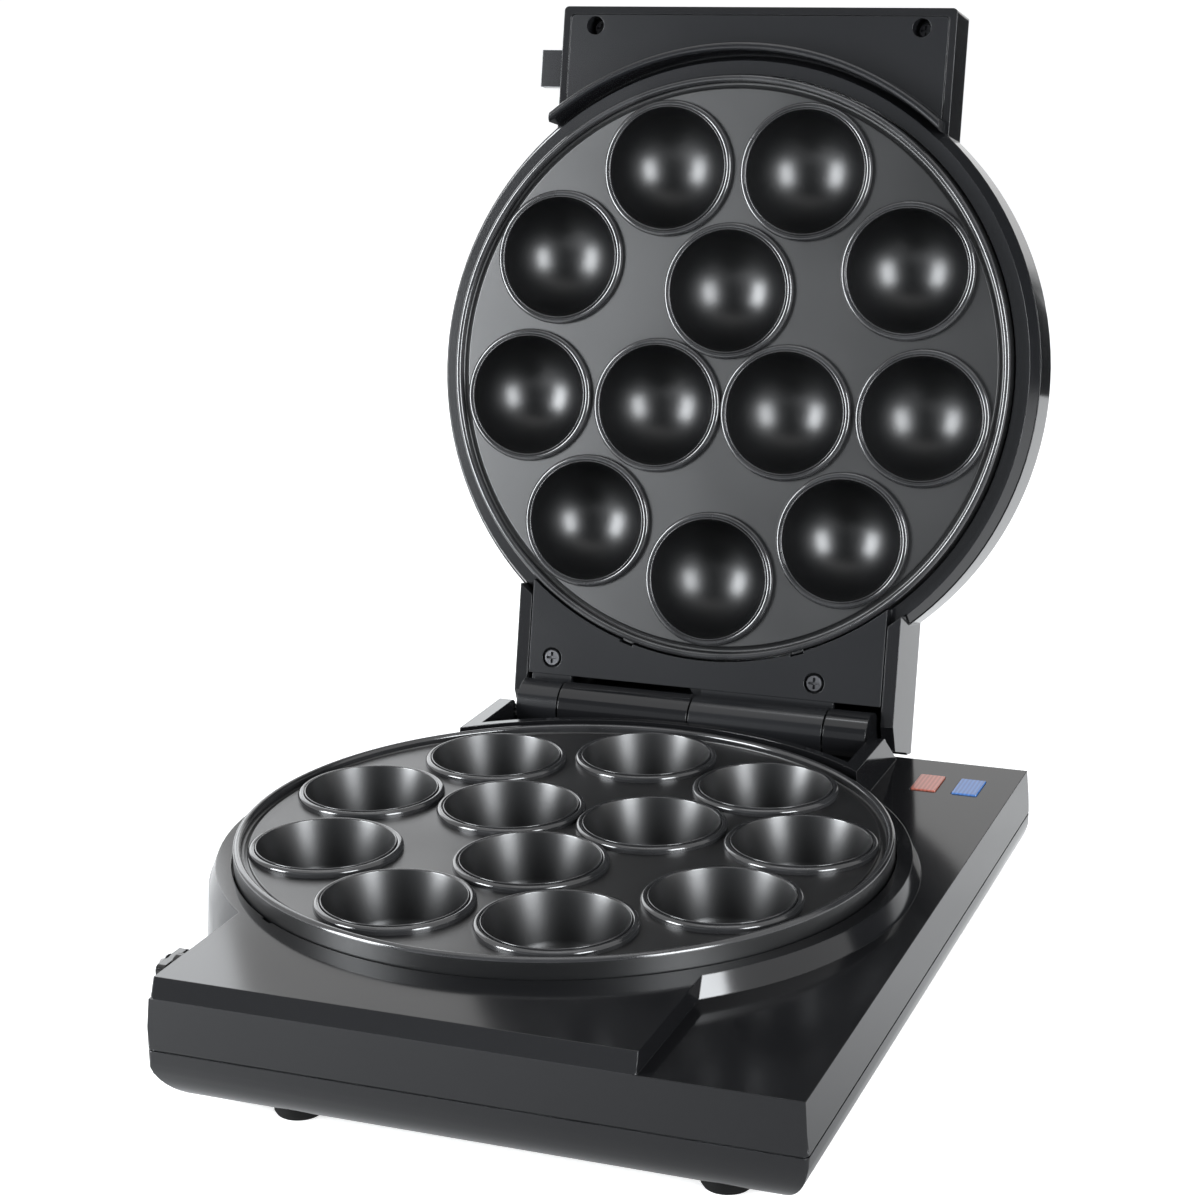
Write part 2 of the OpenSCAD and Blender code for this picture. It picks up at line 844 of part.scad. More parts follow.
module cord_grommet() {
    color([0.05, 0.05, 0.05])
        in_place()
            at_inlet()
                difference() {
                    union() {
                        translate([0, 0, 0.05]) cylinder(h = 1.6, r1 = 5.8, r2 = 5.2);
                        translate([0, 0, -wall - 1.3]) cylinder(h = wall + 1.4, r = 4.2);
                        intersection() {
                            translate([0, 0, -wall - 1.5]) cylinder(h = 1.2, r = 5.4);
                            translate([-6, wall - skirt_h / 2 + 0.3, -wall - 2]) cube([12, 12, 3]);
                        }
                    }
                    translate([0, 0, -wall - 3]) cylinder(h = wall + 6, r = 3.3);
                }
}

module hinge_pin() {
    color([0.65, 0.65, 0.67])
        in_place()
            translate([-knuckle_half + 0.5, hinge_y, hinge_z])
                rotate([0, 90, 0]) cylinder(h = 2 * knuckle_half - pin_stop - 1, r = pin_r);
}

// The lid's outer outline, drawn in by inset
module lid_shape(inset, z_low) {
    r = lid_edge_r - inset;
    top = lid_h - inset;
    rotate_extrude()
        intersection() {
            arch_2d(-lid_wall_r + inset, lid_wall_r - inset, z_low, top, r);
            translate([0, z_low]) square([2 * lid_wall_r, lid_h]);
        }
    intersection() {
        along_y(lid_front, 0)
            arch_2d(-lid_half_w + inset, lid_half_w - inset, z_low, top, r);
        along_x(-lid_half_w, lid_half_w)
            arch_2d(lid_front + inset, 2 * lid_edge_r, z_low, top, r);
        translate([0, 0, z_low - over])
            linear_extrude(lid_h + 2 * over)
                plan_2d(-lid_half_w + inset, lid_half_w - inset, lid_front + inset, 2 * corner_r, corner_r);
    }
    intersection() {
        along_y(0, lid_rear)
            arch_2d(-lid_tail_half + inset, lid_tail_half - inset, z_low, top, r);
        along_x(-lid_tail_half, lid_tail_half)
            arch_2d(-2 * lid_edge_r, lid_rear - inset, z_low, top, r);
    }
}

// The side strips of the lid's hinge block, which come down to the lips' level
module tail_strips() {
    intersection() {
        for (side = [-1, 1])
            scale([side, 1, 1])
                along_y(0, lid_rear)
                    polygon([
                        [strip_in, 0], [lid_tail_half, 0],
                        [lid_tail_half, lid_rim + over], [strip_in, lid_rim + over]
                    ]);
        along_x(-lid_tail_half, lid_tail_half) polygon(tail_side);
        difference() {
            translate([-wall_r, 0, -over]) cube([2 * wall_r, 2 * wall_r, lid_h]);
            translate([0, 0, -2 * over]) cylinder(h = lid_h, r = ring_r);
        }
    }
}

module lid_cover() {
    color([0.09, 0.09, 0.095])
        on_lid()
            difference() {
                union() {
                    difference() {
                        lid_shape(0, lid_rim);
                        lid_shape(wall, lid_rim - over);
                    }
                    tail_strips();
                    tail_wall();
                    intersection() {
                        lid_shape(0, lid_rim);
                        cover_bosses();
                    }
                }
                along_x(-lid_tail_half - over, lid_tail_half + over)
                    difference() {
                        translate([hinge_y - 20, -over]) square([60, lid_h + 2 * over]);
                        polygon(tail_side);
                        translate([0, lid_rim + 10]) square([lid_rear, lid_h]);
                    }
                cover_pilots();
            }
}

// The lower part of the lid's back wall
module tail_wall() {
    past_knuckles = 3.1;
    intersection() {
        along_x(-lid_tail_half, lid_tail_half)
            difference() {
                polygon(tail_side);
                translate([-wall, 0]) polygon(tail_side);
                translate([0, -over]) square([hinge_y + past_knuckles, lid_h]);
            }
        translate([-lid_tail_half, 0, 0]) cube([2 * lid_tail_half, 2 * wall_r, lid_rim + 2]);
    }
}

module cover_bosses() {
    for (side = [-1, 1])
        translate([side * front_screw[0], front_screw[1], 20.6]) cylinder(h = lid_h - 20.6, r = boss_r);
    for (p = rear_screws)
        translate([p[0], p[1], lid_rim]) cylinder(h = lid_h - lid_rim, r = boss_r);
    translate([-lid_half_w, lug_y, 20])
        rotate([0, 90, 0]) cylinder(h = wall + 1.5, r = 4);
}

module cover_pilots() {
    for (side = [-1, 1])
        translate([side * front_screw[0], front_screw[1], 20.6 - over])
            cylinder(h = 8 + over, r = shank_r + pilot_gap);
    for (p = rear_screws)
        translate([p[0], p[1], lid_rim - over]) cylinder(h = 9 + over, r = shank_r + pilot_gap);
    translate([-lid_half_w - over, lug_y, 20])
        rotate([0, 90, 0]) cylinder(h = wall + 4, r = shank_r + 0.3);
}

// The ring round the upper plate, with its sloped wall and the collar behind it
module frame_ring() {
    back = lid_rim + wall;
    spigot_r = lid_wall_r - wall - 0.25;
    rotate_extrude()
        polygon([
            [opening_r, ring_drop], [ring_r, ring_drop], [wall_r, lid_rim], [spigot_r, lid_rim],
            [spigot_r, back], [flange_r, back], [flange_r, rim_h], [opening_r, rim_h]
        ]);
}

// The outline that the front panel and its screw tubes keep within
module inside_cover() {
    fit = 0.2;
    linear_extrude(lid_h)
        plan_2d(-lid_half_w + wall + fit, lid_half_w - wall - fit,
            lid_front + wall + fit, 0, corner_r);
}

// The flat panel under the grip, with its two screw tubes
module front_panel() {
    seat_z = 18.2;
    tube_top = 20.6;
    difference() {
        intersection() {
            inside_cover();
            translate([-lid_half_w, lid_front, lid_rim]) cube([2 * lid_half_w, -lid_front, panel_t]);
        }
        translate([0, 0, lid_rim - over]) cylinder(h = panel_t + 2 * over, r = wall_r - eps);
        for (side = [-1, 1])
            translate([side * front_screw[0], front_screw[1], lid_rim - over])
                cylinder(h = panel_t + 2 * over, r = front_hole_r);
    }
    intersection() {
        inside_cover();
        for (side = [-1, 1])
            translate([side * front_screw[0], front_screw[1], 0]) {
                tube(front_hole_r + 1.4, front_hole_r, lid_rim + panel_t - eps, seat_z + eps);
                tube(front_hole_r + 1.4, shank_r + 0.3, seat_z, tube_top);
            }
    }
}

// The curved heat lip in front of the upper plate
module guard() {
    intersection() {
        rotate_extrude()
            translate([guard_r - guard_t, lid_rim - guard_h]) {
                translate([0, guard_t / 2]) square([guard_t, guard_h - guard_t / 2 + panel_t]);
                translate([guard_t / 2, guard_t / 2]) circle(guard_t / 2);
            }
        union() {
            translate([-lid_half_w + 0.8, -2 * wall_r, -over])
                cube([2 * lid_half_w - 1.6, 2 * wall_r - 60, lid_rim + over]);
            inside_cover();
        }
    }
}

// The panel over the hinge, level with the upper plate's lips
module rear_panel() {
    half = strip_in - panel_gap;
    difference() {
        union() {
            translate([-half, 0, 0]) cube([2 * half, hinge_y - knuckle_r - 1.5, panel_t]);
            for (side = [-1, 1])
                translate([side > 0 ? half - wall : -half, 0, 0])
                    cube([wall, hinge_y - knuckle_r - 1.5, lid_rim]);
        }
        translate([0, 0, -over]) cylinder(h = lid_h, r = opening_r);
        for (p = rear_screws)
            translate([p[0], p[1], -over]) {
                cylinder(h = over + head_h, r = head_r + 0.3);
                cylinder(h = lid_rim + 2 * over, r = shank_r + 0.3);
            }
    }
    intersection() {
        tube(flange_r, opening_r, 0, -deck_z + wall);
        translate([-half, 0, -over]) cube([2 * half, 2 * wall_r, lid_rim]);
    }
    for (p = rear_screws)
        translate([p[0], p[1], 0]) tube(head_r + 1.3, shank_r + 0.3, head_h + eps, lid_rim);
}

// The lid's knuckles, each on a short web from the panel
module lid_hinge() {
    difference() {
        union() {
            knuckle_row(lid_knuckles, pin_r + pin_gap, lid_hinge_z);
            for (s = lid_knuckles)
                translate([s[0], hinge_y - knuckle_r - 2, 0.6])
                    cube([s[1] - s[0], knuckle_r, panel_t]);
        }
        translate([-2 * knuckle_half, hinge_y, lid_hinge_z])
            rotate([0, 90, 0]) cylinder(h = 4 * knuckle_half, r = pin_r + pin_gap);
    }
}

module lid_frame() {
    strip_gap = 0.3;
    color([0.13, 0.135, 0.145])
        on_lid()
            difference() {
                union() {
                    difference() {
                        frame_ring();
                        for (side = [-1, 1])
                            translate([
                                side > 0 ? strip_in - strip_gap : -lid_tail_half - strip_gap,
                                40, -over
                            ])
                                cube([lid_tail_half - strip_in + 2 * strip_gap, 80, lid_h]);
                    }
                    ring_under_strips();
                    front_panel();
                    guard();
                    rear_panel();
                    lid_hinge();
                    frame_bosses();
                }
                turned_over() tab_notches(upper_tabs);
                for (a = upper_ears)
                    at_angle(ear_ring_r, a)
                        translate([0, 0, rim_h - 5]) cylinder(h = 5 + over, r = shank_r + pilot_gap);
            }
}

// What is left of the ring where the cover's side strips pass outside it
module ring_under_strips() {
    intersection() {
        frame_ring();
        translate([0, 0, -over]) cylinder(h = lid_h, r = ring_r - 0.3);
    }
}

module frame_bosses() {
    for (a = upper_ears)
        at_angle(ear_ring_r, a)
            translate([0, 0, a > 0 ? panel_t - eps : lid_rim + panel_t - eps])
                cylinder(h = rim_h - (a > 0 ? panel_t : lid_rim + panel_t) + eps, r = ear_r);
}

module upper_plate() {
    color([0.16, 0.165, 0.175]) on_lid() turned_over() plate(upper_tabs);
}

module upper_element() {
    color([0.35, 0.35, 0.36]) on_lid() turned_over() element();
}

module upper_reflector() {
    color([0.7, 0.7, 0.7]) on_lid() turned_over() reflector(upper_ears);
}

module upper_plate_screws() {
    color([0.6, 0.6, 0.62]) on_lid() turned_over() plate_screws();
}

module upper_reflector_screws() {
    color([0.6, 0.6, 0.62]) on_lid() turned_over() reflector_screws(upper_ears);
}

module upper_fuse() {
    color([0.75, 0.73, 0.68]) on_lid() turned_over() fuse();
}

module lid_front_screws() {
    color([0.6, 0.6, 0.62])
        on_lid()
            for (side = [-1, 1])
                translate([side * front_screw[0], front_screw[1], 18.2])
                    screw(10, shank_r, front_head_r);
}

module lid_rear_screws() {
    color([0.6, 0.6, 0.62])
        on_lid()
            for (p = rear_screws)
                translate([p[0], p[1], head_h]) screw(14);
}

// A round boss on the lid's left wall with the lug that the lever hooks over
module latch_lug() {
    color([0.12, 0.12, 0.13])
        on_lid()
            difference() {
                union() {
                    translate([-lid_half_w - rosette_t, lug_y, 20])
                        rotate([0, 90, 0])
                            cylinder(h = rosette_t, r1 = rosette_r - 1.4, r2 = rosette_r);
                    translate([-lid_half_w - lug_out, lug_y - lug_w / 2, lug_z])
                        cube([lug_out, lug_w, lug_t]);
                }
                translate([-lid_half_w - rosette_t + 0.8, lug_y, 20])
                    rotate([0, 90, 0]) cylinder(h = rosette_t, r = shank_r + pilot_gap);
            }
}

module latch_lug_screw() {
    color([0.6, 0.6, 0.62])
        on_lid()
            translate([-lid_half_w + wall + 1.5, lug_y, 20])
                rotate([0, -90, 0]) screw(wall + 1.5 + 1.1);
}

// The lever hangs from its pivot and swings up over the front to hook over the lug
module latch_lever() {
    hook_x = -lid_half_w - rosette_t - 0.3;
    hook_t = 3;
    end_r = 3;
    tip = hook_in + 2.2;
    color([0.12, 0.12, 0.13])
        in_place()
            translate([0, pivot_y, pivot_z])
                rotate([180, 0, 0])
                    difference() {
                        union() {
                            along_x(arm_x - lever_t, arm_x)
                                plan_2d(-lever_w / 2, lever_w / 2, -end_r, 12, 1.5);
                            along_x(hook_x - hook_t, hook_x)
                                difference() {
                                    plan_2d(-lever_w / 2, lever_w / 2, 7, tip, 1.2);
                                    translate([notch_v, hook_in - lug_t - 4.2 * hook_gap])
                                        square([lever_w, lug_t + 4.2 * hook_gap]);
                                }
                        }
                        translate([arm_x - lever_t - over, 0, 0])
                            rotate([0, 90, 0]) cylinder(h = lever_t + 2 * over, r = pivot_r + 0.06);
                    }
}

module latch_pivot() {
    color([0.6, 0.6, 0.62])
        in_place()
            translate([arm_x - lever_t - 0.1, pivot_y, pivot_z])
                rotate([0, 90, 0]) {
                    cylinder(h = lever_t + 0.15, r = pivot_r);
                    cylinder(h = lever_t + 8, r = shank_r);
                    translate([0, 0, -1.6]) cylinder(h = 1.6 + eps, r1 = 2.6, r2 = 3.4);
                }
}

lower_housing();
upper_housing();
lower_plate();
lower_element();
lower_reflector();
lower_plate_screws();
lower_reflector_screws();
thermostat();
lower_fuse();
power_lens();
ready_lens();
lamp_holders();
terminal_block();
case_screws();
feet();
cord_grommet();
hinge_pin();
lid_cover();
lid_frame();
upper_plate();
upper_element();
upper_reflector();
upper_plate_screws();
upper_reflector_screws();
upper_fuse();
lid_front_screws();
lid_rear_screws();
latch_lug();
latch_lug_screw();
latch_lever();
latch_pivot();
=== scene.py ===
"""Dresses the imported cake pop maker: eased housings, cast plates, lamps, latch and a plain studio."""

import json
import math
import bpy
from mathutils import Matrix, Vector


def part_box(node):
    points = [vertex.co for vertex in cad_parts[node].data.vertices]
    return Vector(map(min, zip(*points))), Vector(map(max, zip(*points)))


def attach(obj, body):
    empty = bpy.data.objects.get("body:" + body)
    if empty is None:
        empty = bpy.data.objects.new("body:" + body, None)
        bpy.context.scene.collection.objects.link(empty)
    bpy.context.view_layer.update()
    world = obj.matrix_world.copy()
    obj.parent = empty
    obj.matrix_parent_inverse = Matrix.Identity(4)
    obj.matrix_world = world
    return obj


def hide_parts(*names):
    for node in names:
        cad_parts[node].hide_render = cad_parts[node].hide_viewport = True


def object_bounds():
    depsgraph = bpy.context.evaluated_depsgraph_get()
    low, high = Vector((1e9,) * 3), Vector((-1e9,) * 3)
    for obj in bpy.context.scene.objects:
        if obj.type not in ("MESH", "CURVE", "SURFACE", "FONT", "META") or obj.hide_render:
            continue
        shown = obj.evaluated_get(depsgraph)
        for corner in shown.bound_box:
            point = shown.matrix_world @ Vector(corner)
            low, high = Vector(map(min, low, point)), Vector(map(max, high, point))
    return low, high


bl_info = {
    "name": "Cake pop maker",
    "version": (1, 0, 0),
    "blender": (4, 5, 0),
    "location": "View3D > Sidebar > Cake pop maker",
    "description": "Dresses the packed cake pop maker and sets up its studio",
    "category": "Object",
}

import bpy
from mathutils import Matrix, Vector

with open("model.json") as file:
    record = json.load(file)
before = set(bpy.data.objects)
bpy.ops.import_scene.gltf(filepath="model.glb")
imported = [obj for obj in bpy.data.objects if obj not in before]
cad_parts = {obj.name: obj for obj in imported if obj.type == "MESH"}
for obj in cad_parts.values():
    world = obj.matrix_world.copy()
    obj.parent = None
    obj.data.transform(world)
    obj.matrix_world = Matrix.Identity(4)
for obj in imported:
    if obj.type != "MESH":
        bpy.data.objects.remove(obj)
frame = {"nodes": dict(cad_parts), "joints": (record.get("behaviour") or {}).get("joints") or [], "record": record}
CAD_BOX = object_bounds()
NODES = frame["nodes"]

# Where the plates and the hinge are, read from the frame
low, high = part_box("lower_plate")
PLATE = Vector(((low.x + high.x) / 2, (low.y + high.y) / 2, high.z))
PLATE_R = (high.x - low.x) / 2
RIM_H = 0.016
LID_JOINT = next(j for j in frame["joints"] if j["child"] == "lid")
HINGE = Vector(LID_JOINT["pos_m"])
LID_OPEN = math.radians(LID_JOINT["range_deg"][1])
CLOSE_GAP = 0.0003
OUTER_CUPS, OUTER_RING_R = 9, 0.066
INNER_CUPS, INNER_RING_R = 3, 0.0246
TAB_DEEP, TAB_WIDE, TAB_EDGE, TAB_FOOT = 0.002, 0.004, 0.0005, -0.0134
LOWER_TABS, LOWER_TAB_TALL = (-125,), 0.004
UPPER_TABS, UPPER_TAB_TALL = (180 - 70.4, 180 - 106.3), 0.012

# How meshes are merged, rounded and shaded: lengths in metres, angles in degrees
MERGE_TURNED = 2e-5
MERGE_CAD = 2e-6
FLAT_WITHIN = 0.6
HARD_FROM = 32
PLATE_HARD_FROM = 35
EDGE_STEPS = 3
PLATE_STEPS = 192
CUP_STEPS = 72
EDGE_MARK = "edge_mark"

# The camera: degrees, then its place from the middle of the lower plate
CAMERA_AZIMUTH, CAMERA_ELEVATION, CAMERA_ROLL = 21.07, 16.99, -0.754
CAMERA_PLACE = Vector((0.25197, -0.61754, 0.2508))
CAMERA_SHIFT = (-0.0080, 0.0531)


def lid_place():
    """Turns something laid out on the base's plate into its place on the open lid."""
    turn_over = Matrix.Rotation(math.pi, 4, "Y")
    raise_up = Matrix.Translation(PLATE + Vector((0, 0, CLOSE_GAP)))
    swing = Matrix.Translation(HINGE) @ Matrix.Rotation(-LID_OPEN, 4, "X") @ Matrix.Translation(-HINGE)
    return swing @ raise_up @ turn_over @ Matrix.Translation(-PLATE)


# Settings that a user would change


class CakePopSizes(bpy.types.PropertyGroup):
    """Sizes of the pieces that are made here."""

    cavity_radius: bpy.props.FloatProperty(
        name="Cavity radius", description="Radius of a ball cavity at its lip",
        default=0.019, min=0.015, max=0.0195, unit="LENGTH",
    )
    cup_wall: bpy.props.FloatProperty(
        name="Cup wall", description="Thickness of a cup's wall",
        default=0.0022, min=0.001, max=0.0026, unit="LENGTH",
    )
    lower_draft: bpy.props.FloatProperty(
        name="Lower draft", description="Lean of the cavities' walls in the lower plate, in degrees",
        default=15.5, min=1, max=20,
    )
    upper_draft: bpy.props.FloatProperty(
        name="Upper draft", description="Lean of the cavities' walls in the upper plate, in degrees",
        default=5, min=1, max=20,
    )
    lip_support: bpy.props.FloatProperty(
        name="Lip support", description="Distance of the first ring below a cavity's lip",
        default=0.0005, min=0.0002, max=0.001, unit="LENGTH",
    )
    rim_band: bpy.props.FloatProperty(
        name="Rim band", description="Width of the smoothly coated band at a plate's rim",
        default=0.004, min=0.001, max=0.006, unit="LENGTH",
    )
    small_step: bpy.props.FloatProperty(
        name="Small step", description="Margin by which a face lies inside or outside a limit",
        default=0.00005, min=0.00001, max=0.0002, precision=5, unit="LENGTH",
    )
    cavity_depth: bpy.props.FloatProperty(
        name="Cavity depth", description="Depth of a cavity below its lip",
        default=0.0198, min=0.015, max=0.0205, unit="LENGTH",
    )
    lower_straight: bpy.props.FloatProperty(
        name="Lower straight wall", description="Height of the straight part of the wall in the lower plate",
        default=0.0125, min=0.001, max=0.014, unit="LENGTH",
    )
    upper_straight: bpy.props.FloatProperty(
        name="Upper straight wall", description="Height of the straight part of the wall in the upper plate",
        default=0.003, min=0.001, max=0.012, unit="LENGTH",
    )
    lip_height: bpy.props.FloatProperty(
        name="Lip height", description="Height of a lip above the plate",
        default=0.002, min=0.001, max=0.003, unit="LENGTH",
    )
    housing_edge: bpy.props.FloatProperty(
        name="Housing edge", description="Radius of the housings' moulded edges",
        default=0.0005, min=0.0001, max=0.001, unit="LENGTH",
    )
    small_edge: bpy.props.FloatProperty(
        name="Small edge", description="Radius of the edges of small pieces",
        default=0.0003, min=0.0001, max=0.0006, unit="LENGTH",
    )


class CakePopColours(bpy.types.PropertyGroup):
    """Colours of the finishes."""

    housing: bpy.props.FloatVectorProperty(
        name="Housing", description="Glossy moulded plastic", subtype="COLOR",
        size=4, default=(0.007, 0.0071, 0.0078, 1), min=0, max=1,
    )
    panel: bpy.props.FloatVectorProperty(
        name="Lid panels", description="Satin moulded plastic", subtype="COLOR",
        size=4, default=(0.009, 0.0093, 0.0103, 1), min=0, max=1,
    )
    coating: bpy.props.FloatVectorProperty(
        name="Plate coating", description="Non-stick coating of the plates", subtype="COLOR",
        size=4, default=(0.0024, 0.0025, 0.0028, 1), min=0, max=1,
    )
    steel: bpy.props.FloatVectorProperty(
        name="Steel", description="Pin and inner metal", subtype="COLOR",
        size=4, default=(0.5, 0.5, 0.51, 1), min=0, max=1,
    )
    screw: bpy.props.FloatVectorProperty(
        name="Screws", description="Blackened screws", subtype="COLOR",
        size=4, default=(0.09, 0.09, 0.095, 1), min=0, max=1,
    )
    red: bpy.props.FloatVectorProperty(
        name="Red lens", description="Lens of the power lamp", subtype="COLOR",
        size=4, default=(0.46, 0.14, 0.1, 1), min=0, max=1,
    )
    blue: bpy.props.FloatVectorProperty(
        name="Blue lens", description="Lens of the ready lamp", subtype="COLOR",
        size=4, default=(0.06, 0.16, 0.42, 1), min=0, max=1,
    )


class CakePopStudio(bpy.types.PropertyGroup):
    """Camera and studio."""

    lens: bpy.props.FloatProperty(
        name="Lens", description="Focal length on a 36 mm frame, in millimetres",
        default=76.82, min=20, max=200,
    )
    key_power: bpy.props.FloatProperty(
        name="Key light", description="Power of the left soft box",
        default=27, min=0, max=200, subtype="POWER",
    )
    fill_power: bpy.props.FloatProperty(
        name="Fill light", description="Power of the right soft box",
        default=21, min=0, max=200, subtype="POWER",
    )
    front_power: bpy.props.FloatProperty(
        name="Front light", description="Power of the wide panel in front",
        default=0.7, min=0, max=50, subtype="POWER",
    )
    low_power: bpy.props.FloatProperty(
        name="Low back light", description="Power of the low panel behind",
        default=0.32, min=0, max=50, subtype="POWER",
    )
    top_power: bpy.props.FloatProperty(
        name="Top light", description="Power of the narrow strip overhead",
        default=1.2, min=0, max=50, subtype="POWER",
    )
    back_power: bpy.props.FloatProperty(
        name="Back light", description="Power of the soft box behind",
        default=2.6, min=0, max=50, subtype="POWER",
    )
    sky: bpy.props.FloatProperty(
        name="Room light", description="Strength of the room's even light",
        default=0.36, min=0, max=2,
    )
    floor_lift: bpy.props.FloatProperty(
        name="Floor lift", description="How much paler the floor is seen than it is lit",
        default=0.72, min=0, max=1,
    )
    floor: bpy.props.FloatVectorProperty(
        name="Floor", description="Pale floor", subtype="COLOR",
        size=4, default=(0.82, 0.82, 0.82, 1), min=0, max=1,
    )


# Modelling


def let_go():
    """Leaves object mode clean, with nothing selected."""
    if bpy.context.object and bpy.context.object.mode != "OBJECT":
        bpy.ops.object.mode_set(mode="OBJECT")
    bpy.ops.object.select_all(action="DESELECT")


def pick(*objs):
    let_go()
    for obj in objs:
        obj.select_set(True)
    bpy.context.view_layer.objects.active = objs[0]


def place_in_mesh(obj):
    pick(obj)
    bpy.ops.object.transform_apply(location=True, rotation=True, scale=True)


def smooth(obj, angle):
    pick(obj)
    bpy.ops.object.shade_smooth_by_angle(angle=math.radians(angle))


def apply_modifiers(obj):
    pick(obj)
    for modifier in list(obj.modifiers):
        bpy.ops.object.modifier_apply(modifier=modifier.name)


def join(first, *others):
    pick(first, *others)
    bpy.ops.object.join()
    return first


def clean(obj):
    """Merges doubles and turns all faces outwards."""
    pick(obj)
    bpy.ops.object.mode_set(mode="EDIT")
    bpy.ops.mesh.select_all(action="SELECT")
    bpy.ops.mesh.remove_doubles(threshold=MERGE_TURNED)
    bpy.ops.mesh.normals_make_consistent(inside=False)
    bpy.ops.object.mode_set(mode="OBJECT")


def turned(name, profile, centre, steps):
    """A round piece: a ring is drawn out from point to point of its profile, each a radius and a height."""
    let_go()
    radius, height = profile[0]
    start = centre + Vector((0, 0, height))
    bpy.ops.mesh.primitive_circle_add(vertices=steps, radius=radius, location=start)
    obj = bpy.context.object
    obj.name = name
    bpy.ops.object.mode_set(mode="EDIT")
    bpy.ops.mesh.select_all(action="SELECT")
    for (r_from, z_from), (r_to, z_to) in zip(profile, profile[1:]):
        bpy.ops.mesh.extrude_edges_move(TRANSFORM_OT_translate={"value": (0, 0, z_to - z_from)})
        scale = r_to / r_from
        bpy.ops.transform.resize(
            value=(scale, scale, 1), center_override=centre + Vector((0, 0, z_to))
        )
    bpy.ops.object.mode_set(mode="OBJECT")
    place_in_mesh(obj)
    clean(obj)
    return obj


def arc(centre, radius, start, end, count):
    """Points of an arc in a profile, with its angles in degrees."""
    points = []
    for i in range(count + 1):
        a = math.radians(start + (end - start) * i / count)
        points.append((centre[0] + radius * math.cos(a), centre[1] + radius * math.sin(a)))
    return points


def even_shading(obj):
    """Keeps large flat faces flat beside their rounded edges."""
    weighted = obj.modifiers.new("Even shading", "WEIGHTED_NORMAL")
    weighted.mode = "FACE_AREA"
    weighted.weight = 100
    weighted.keep_sharp = True
    apply_modifiers(obj)


def mark_edges(obj, is_edge):
    """Marks the faces for which is_edge holds, for the finishes to find."""
    marks = obj.data.attributes.new(EDGE_MARK, "FLOAT", "FACE")
    for face in obj.data.polygons:
        marks.data[face.index].value = 1.0 if is_edge(face) else 0.0


def copy_object(obj, name):
    pick(obj)
    bpy.ops.object.duplicate()
    twin = bpy.context.object
    twin.name = name
    return twin


def eased(node, name, edge):
    """A merged copy of a CAD node with its hard edges rounded."""
    source = NODES[node]
    pick(source)
    bpy.ops.object.duplicate()
    piece = bpy.context.object
    piece.name = name
    piece.parent = None
    for key in list(piece.keys()):
        del piece[key]
    bpy.ops.object.mode_set(mode="EDIT")
    bpy.ops.mesh.select_all(action="SELECT")
    bpy.ops.mesh.remove_doubles(threshold=MERGE_CAD)
    bpy.ops.mesh.dissolve_limited(angle_limit=math.radians(FLAT_WITHIN))
    bpy.ops.object.mode_set(mode="OBJECT")
    piece.data.materials.clear()
    for label in ("face", "edge"):
        piece.data.materials.append(bpy.data.materials.new(label))
    bevel = piece.modifiers.new("Edge", "BEVEL")
    bevel.material = 1
    bevel.width = edge
    bevel.segments = EDGE_STEPS
    bevel.limit_method = "ANGLE"
    bevel.angle_limit = math.radians(HARD_FROM)
    bevel.use_clamp_overlap = True
    bevel.miter_outer = "MITER_ARC"
    apply_modifiers(piece)
    mark_edges(piece, lambda face: face.material_index == 1)
    for face in piece.data.polygons:
        face.material_index = 0
    smooth(piece, HARD_FROM)
    even_shading(piece)
    return piece


def finish_piece(piece, body, slot, material, *replaced):
    piece.data.materials.clear()
    piece.data.materials.append(material)
    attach(piece, body)
    if replaced:
        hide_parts(*replaced)


# Materials

TONE_SPAN = (0.88, 1.12)
RIB_SPAN = (0.82, 1.2)
DUST_COLOUR = (0.35, 0.34, 0.33)
# Colour of the floor as glosses see it in front of and to the right of the object: painted shade.
FLOOR_PAINTED_SHADE = (0.1, 0.1, 0.1)
BUMP_REACH = 0.0001


def new_group(name, inputs, outputs):
    group = bpy.data.node_groups.new(name, "ShaderNodeTree")
    for label, kind, value in inputs:
        socket = group.interface.new_socket(name=label, in_out="INPUT", socket_type=kind)
        if value is not None:
            socket.default_value = value
    for label, kind in outputs:
        group.interface.new_socket(name=label, in_out="OUTPUT", socket_type=kind)
    source = group.nodes.new("NodeGroupInput")
    sink = group.nodes.new("NodeGroupOutput")
    return group, source, sink


def noise(group, vector, scale, detail, roughness=0.5):
    node = group.nodes.new("ShaderNodeTexNoise")
    node.inputs["Scale"].default_value = scale
    node.inputs["Detail"].default_value = detail
    node.inputs["Roughness"].default_value = roughness
    group.links.new(vector, node.inputs["Vector"])
    return node


def times(group, first, second):
    node = group.nodes.new("ShaderNodeMath")
    node.operation = "MULTIPLY"
    for socket, value in zip(node.inputs, (first, second)):
        if isinstance(value, (int, float)):
            socket.default_value = value
        else:
            group.links.new(value, socket)
    return node.outputs[0]


def mix_colours(tree, share, low, high):
    """Mixes two colours by share, each a colour or a socket."""
    node = tree.nodes.new("ShaderNodeMix")
    node.data_type = "RGBA"
    tree.links.new(share, node.inputs[0])
    for socket, value in ((node.inputs[6], low), (node.inputs[7], high)):
        if isinstance(value, bpy.types.NodeSocket):
            tree.links.new(value, socket)
        else:
            socket.default_value = list(value[:3]) + [1]
    return node.outputs[2]


def span(group, value, low, high, to_low, to_high):
    node = group.nodes.new("ShaderNodeMapRange")
    group.links.new(value, node.inputs["Value"])
    for label, number in (("From Min", low), ("From Max", high), ("To Min", to_low), ("To Max", to_high)):
        if isinstance(number, (int, float)):
            node.inputs[label].default_value = number
        else:
            group.links.new(number, node.inputs[label])
    return node.outputs["Result"]


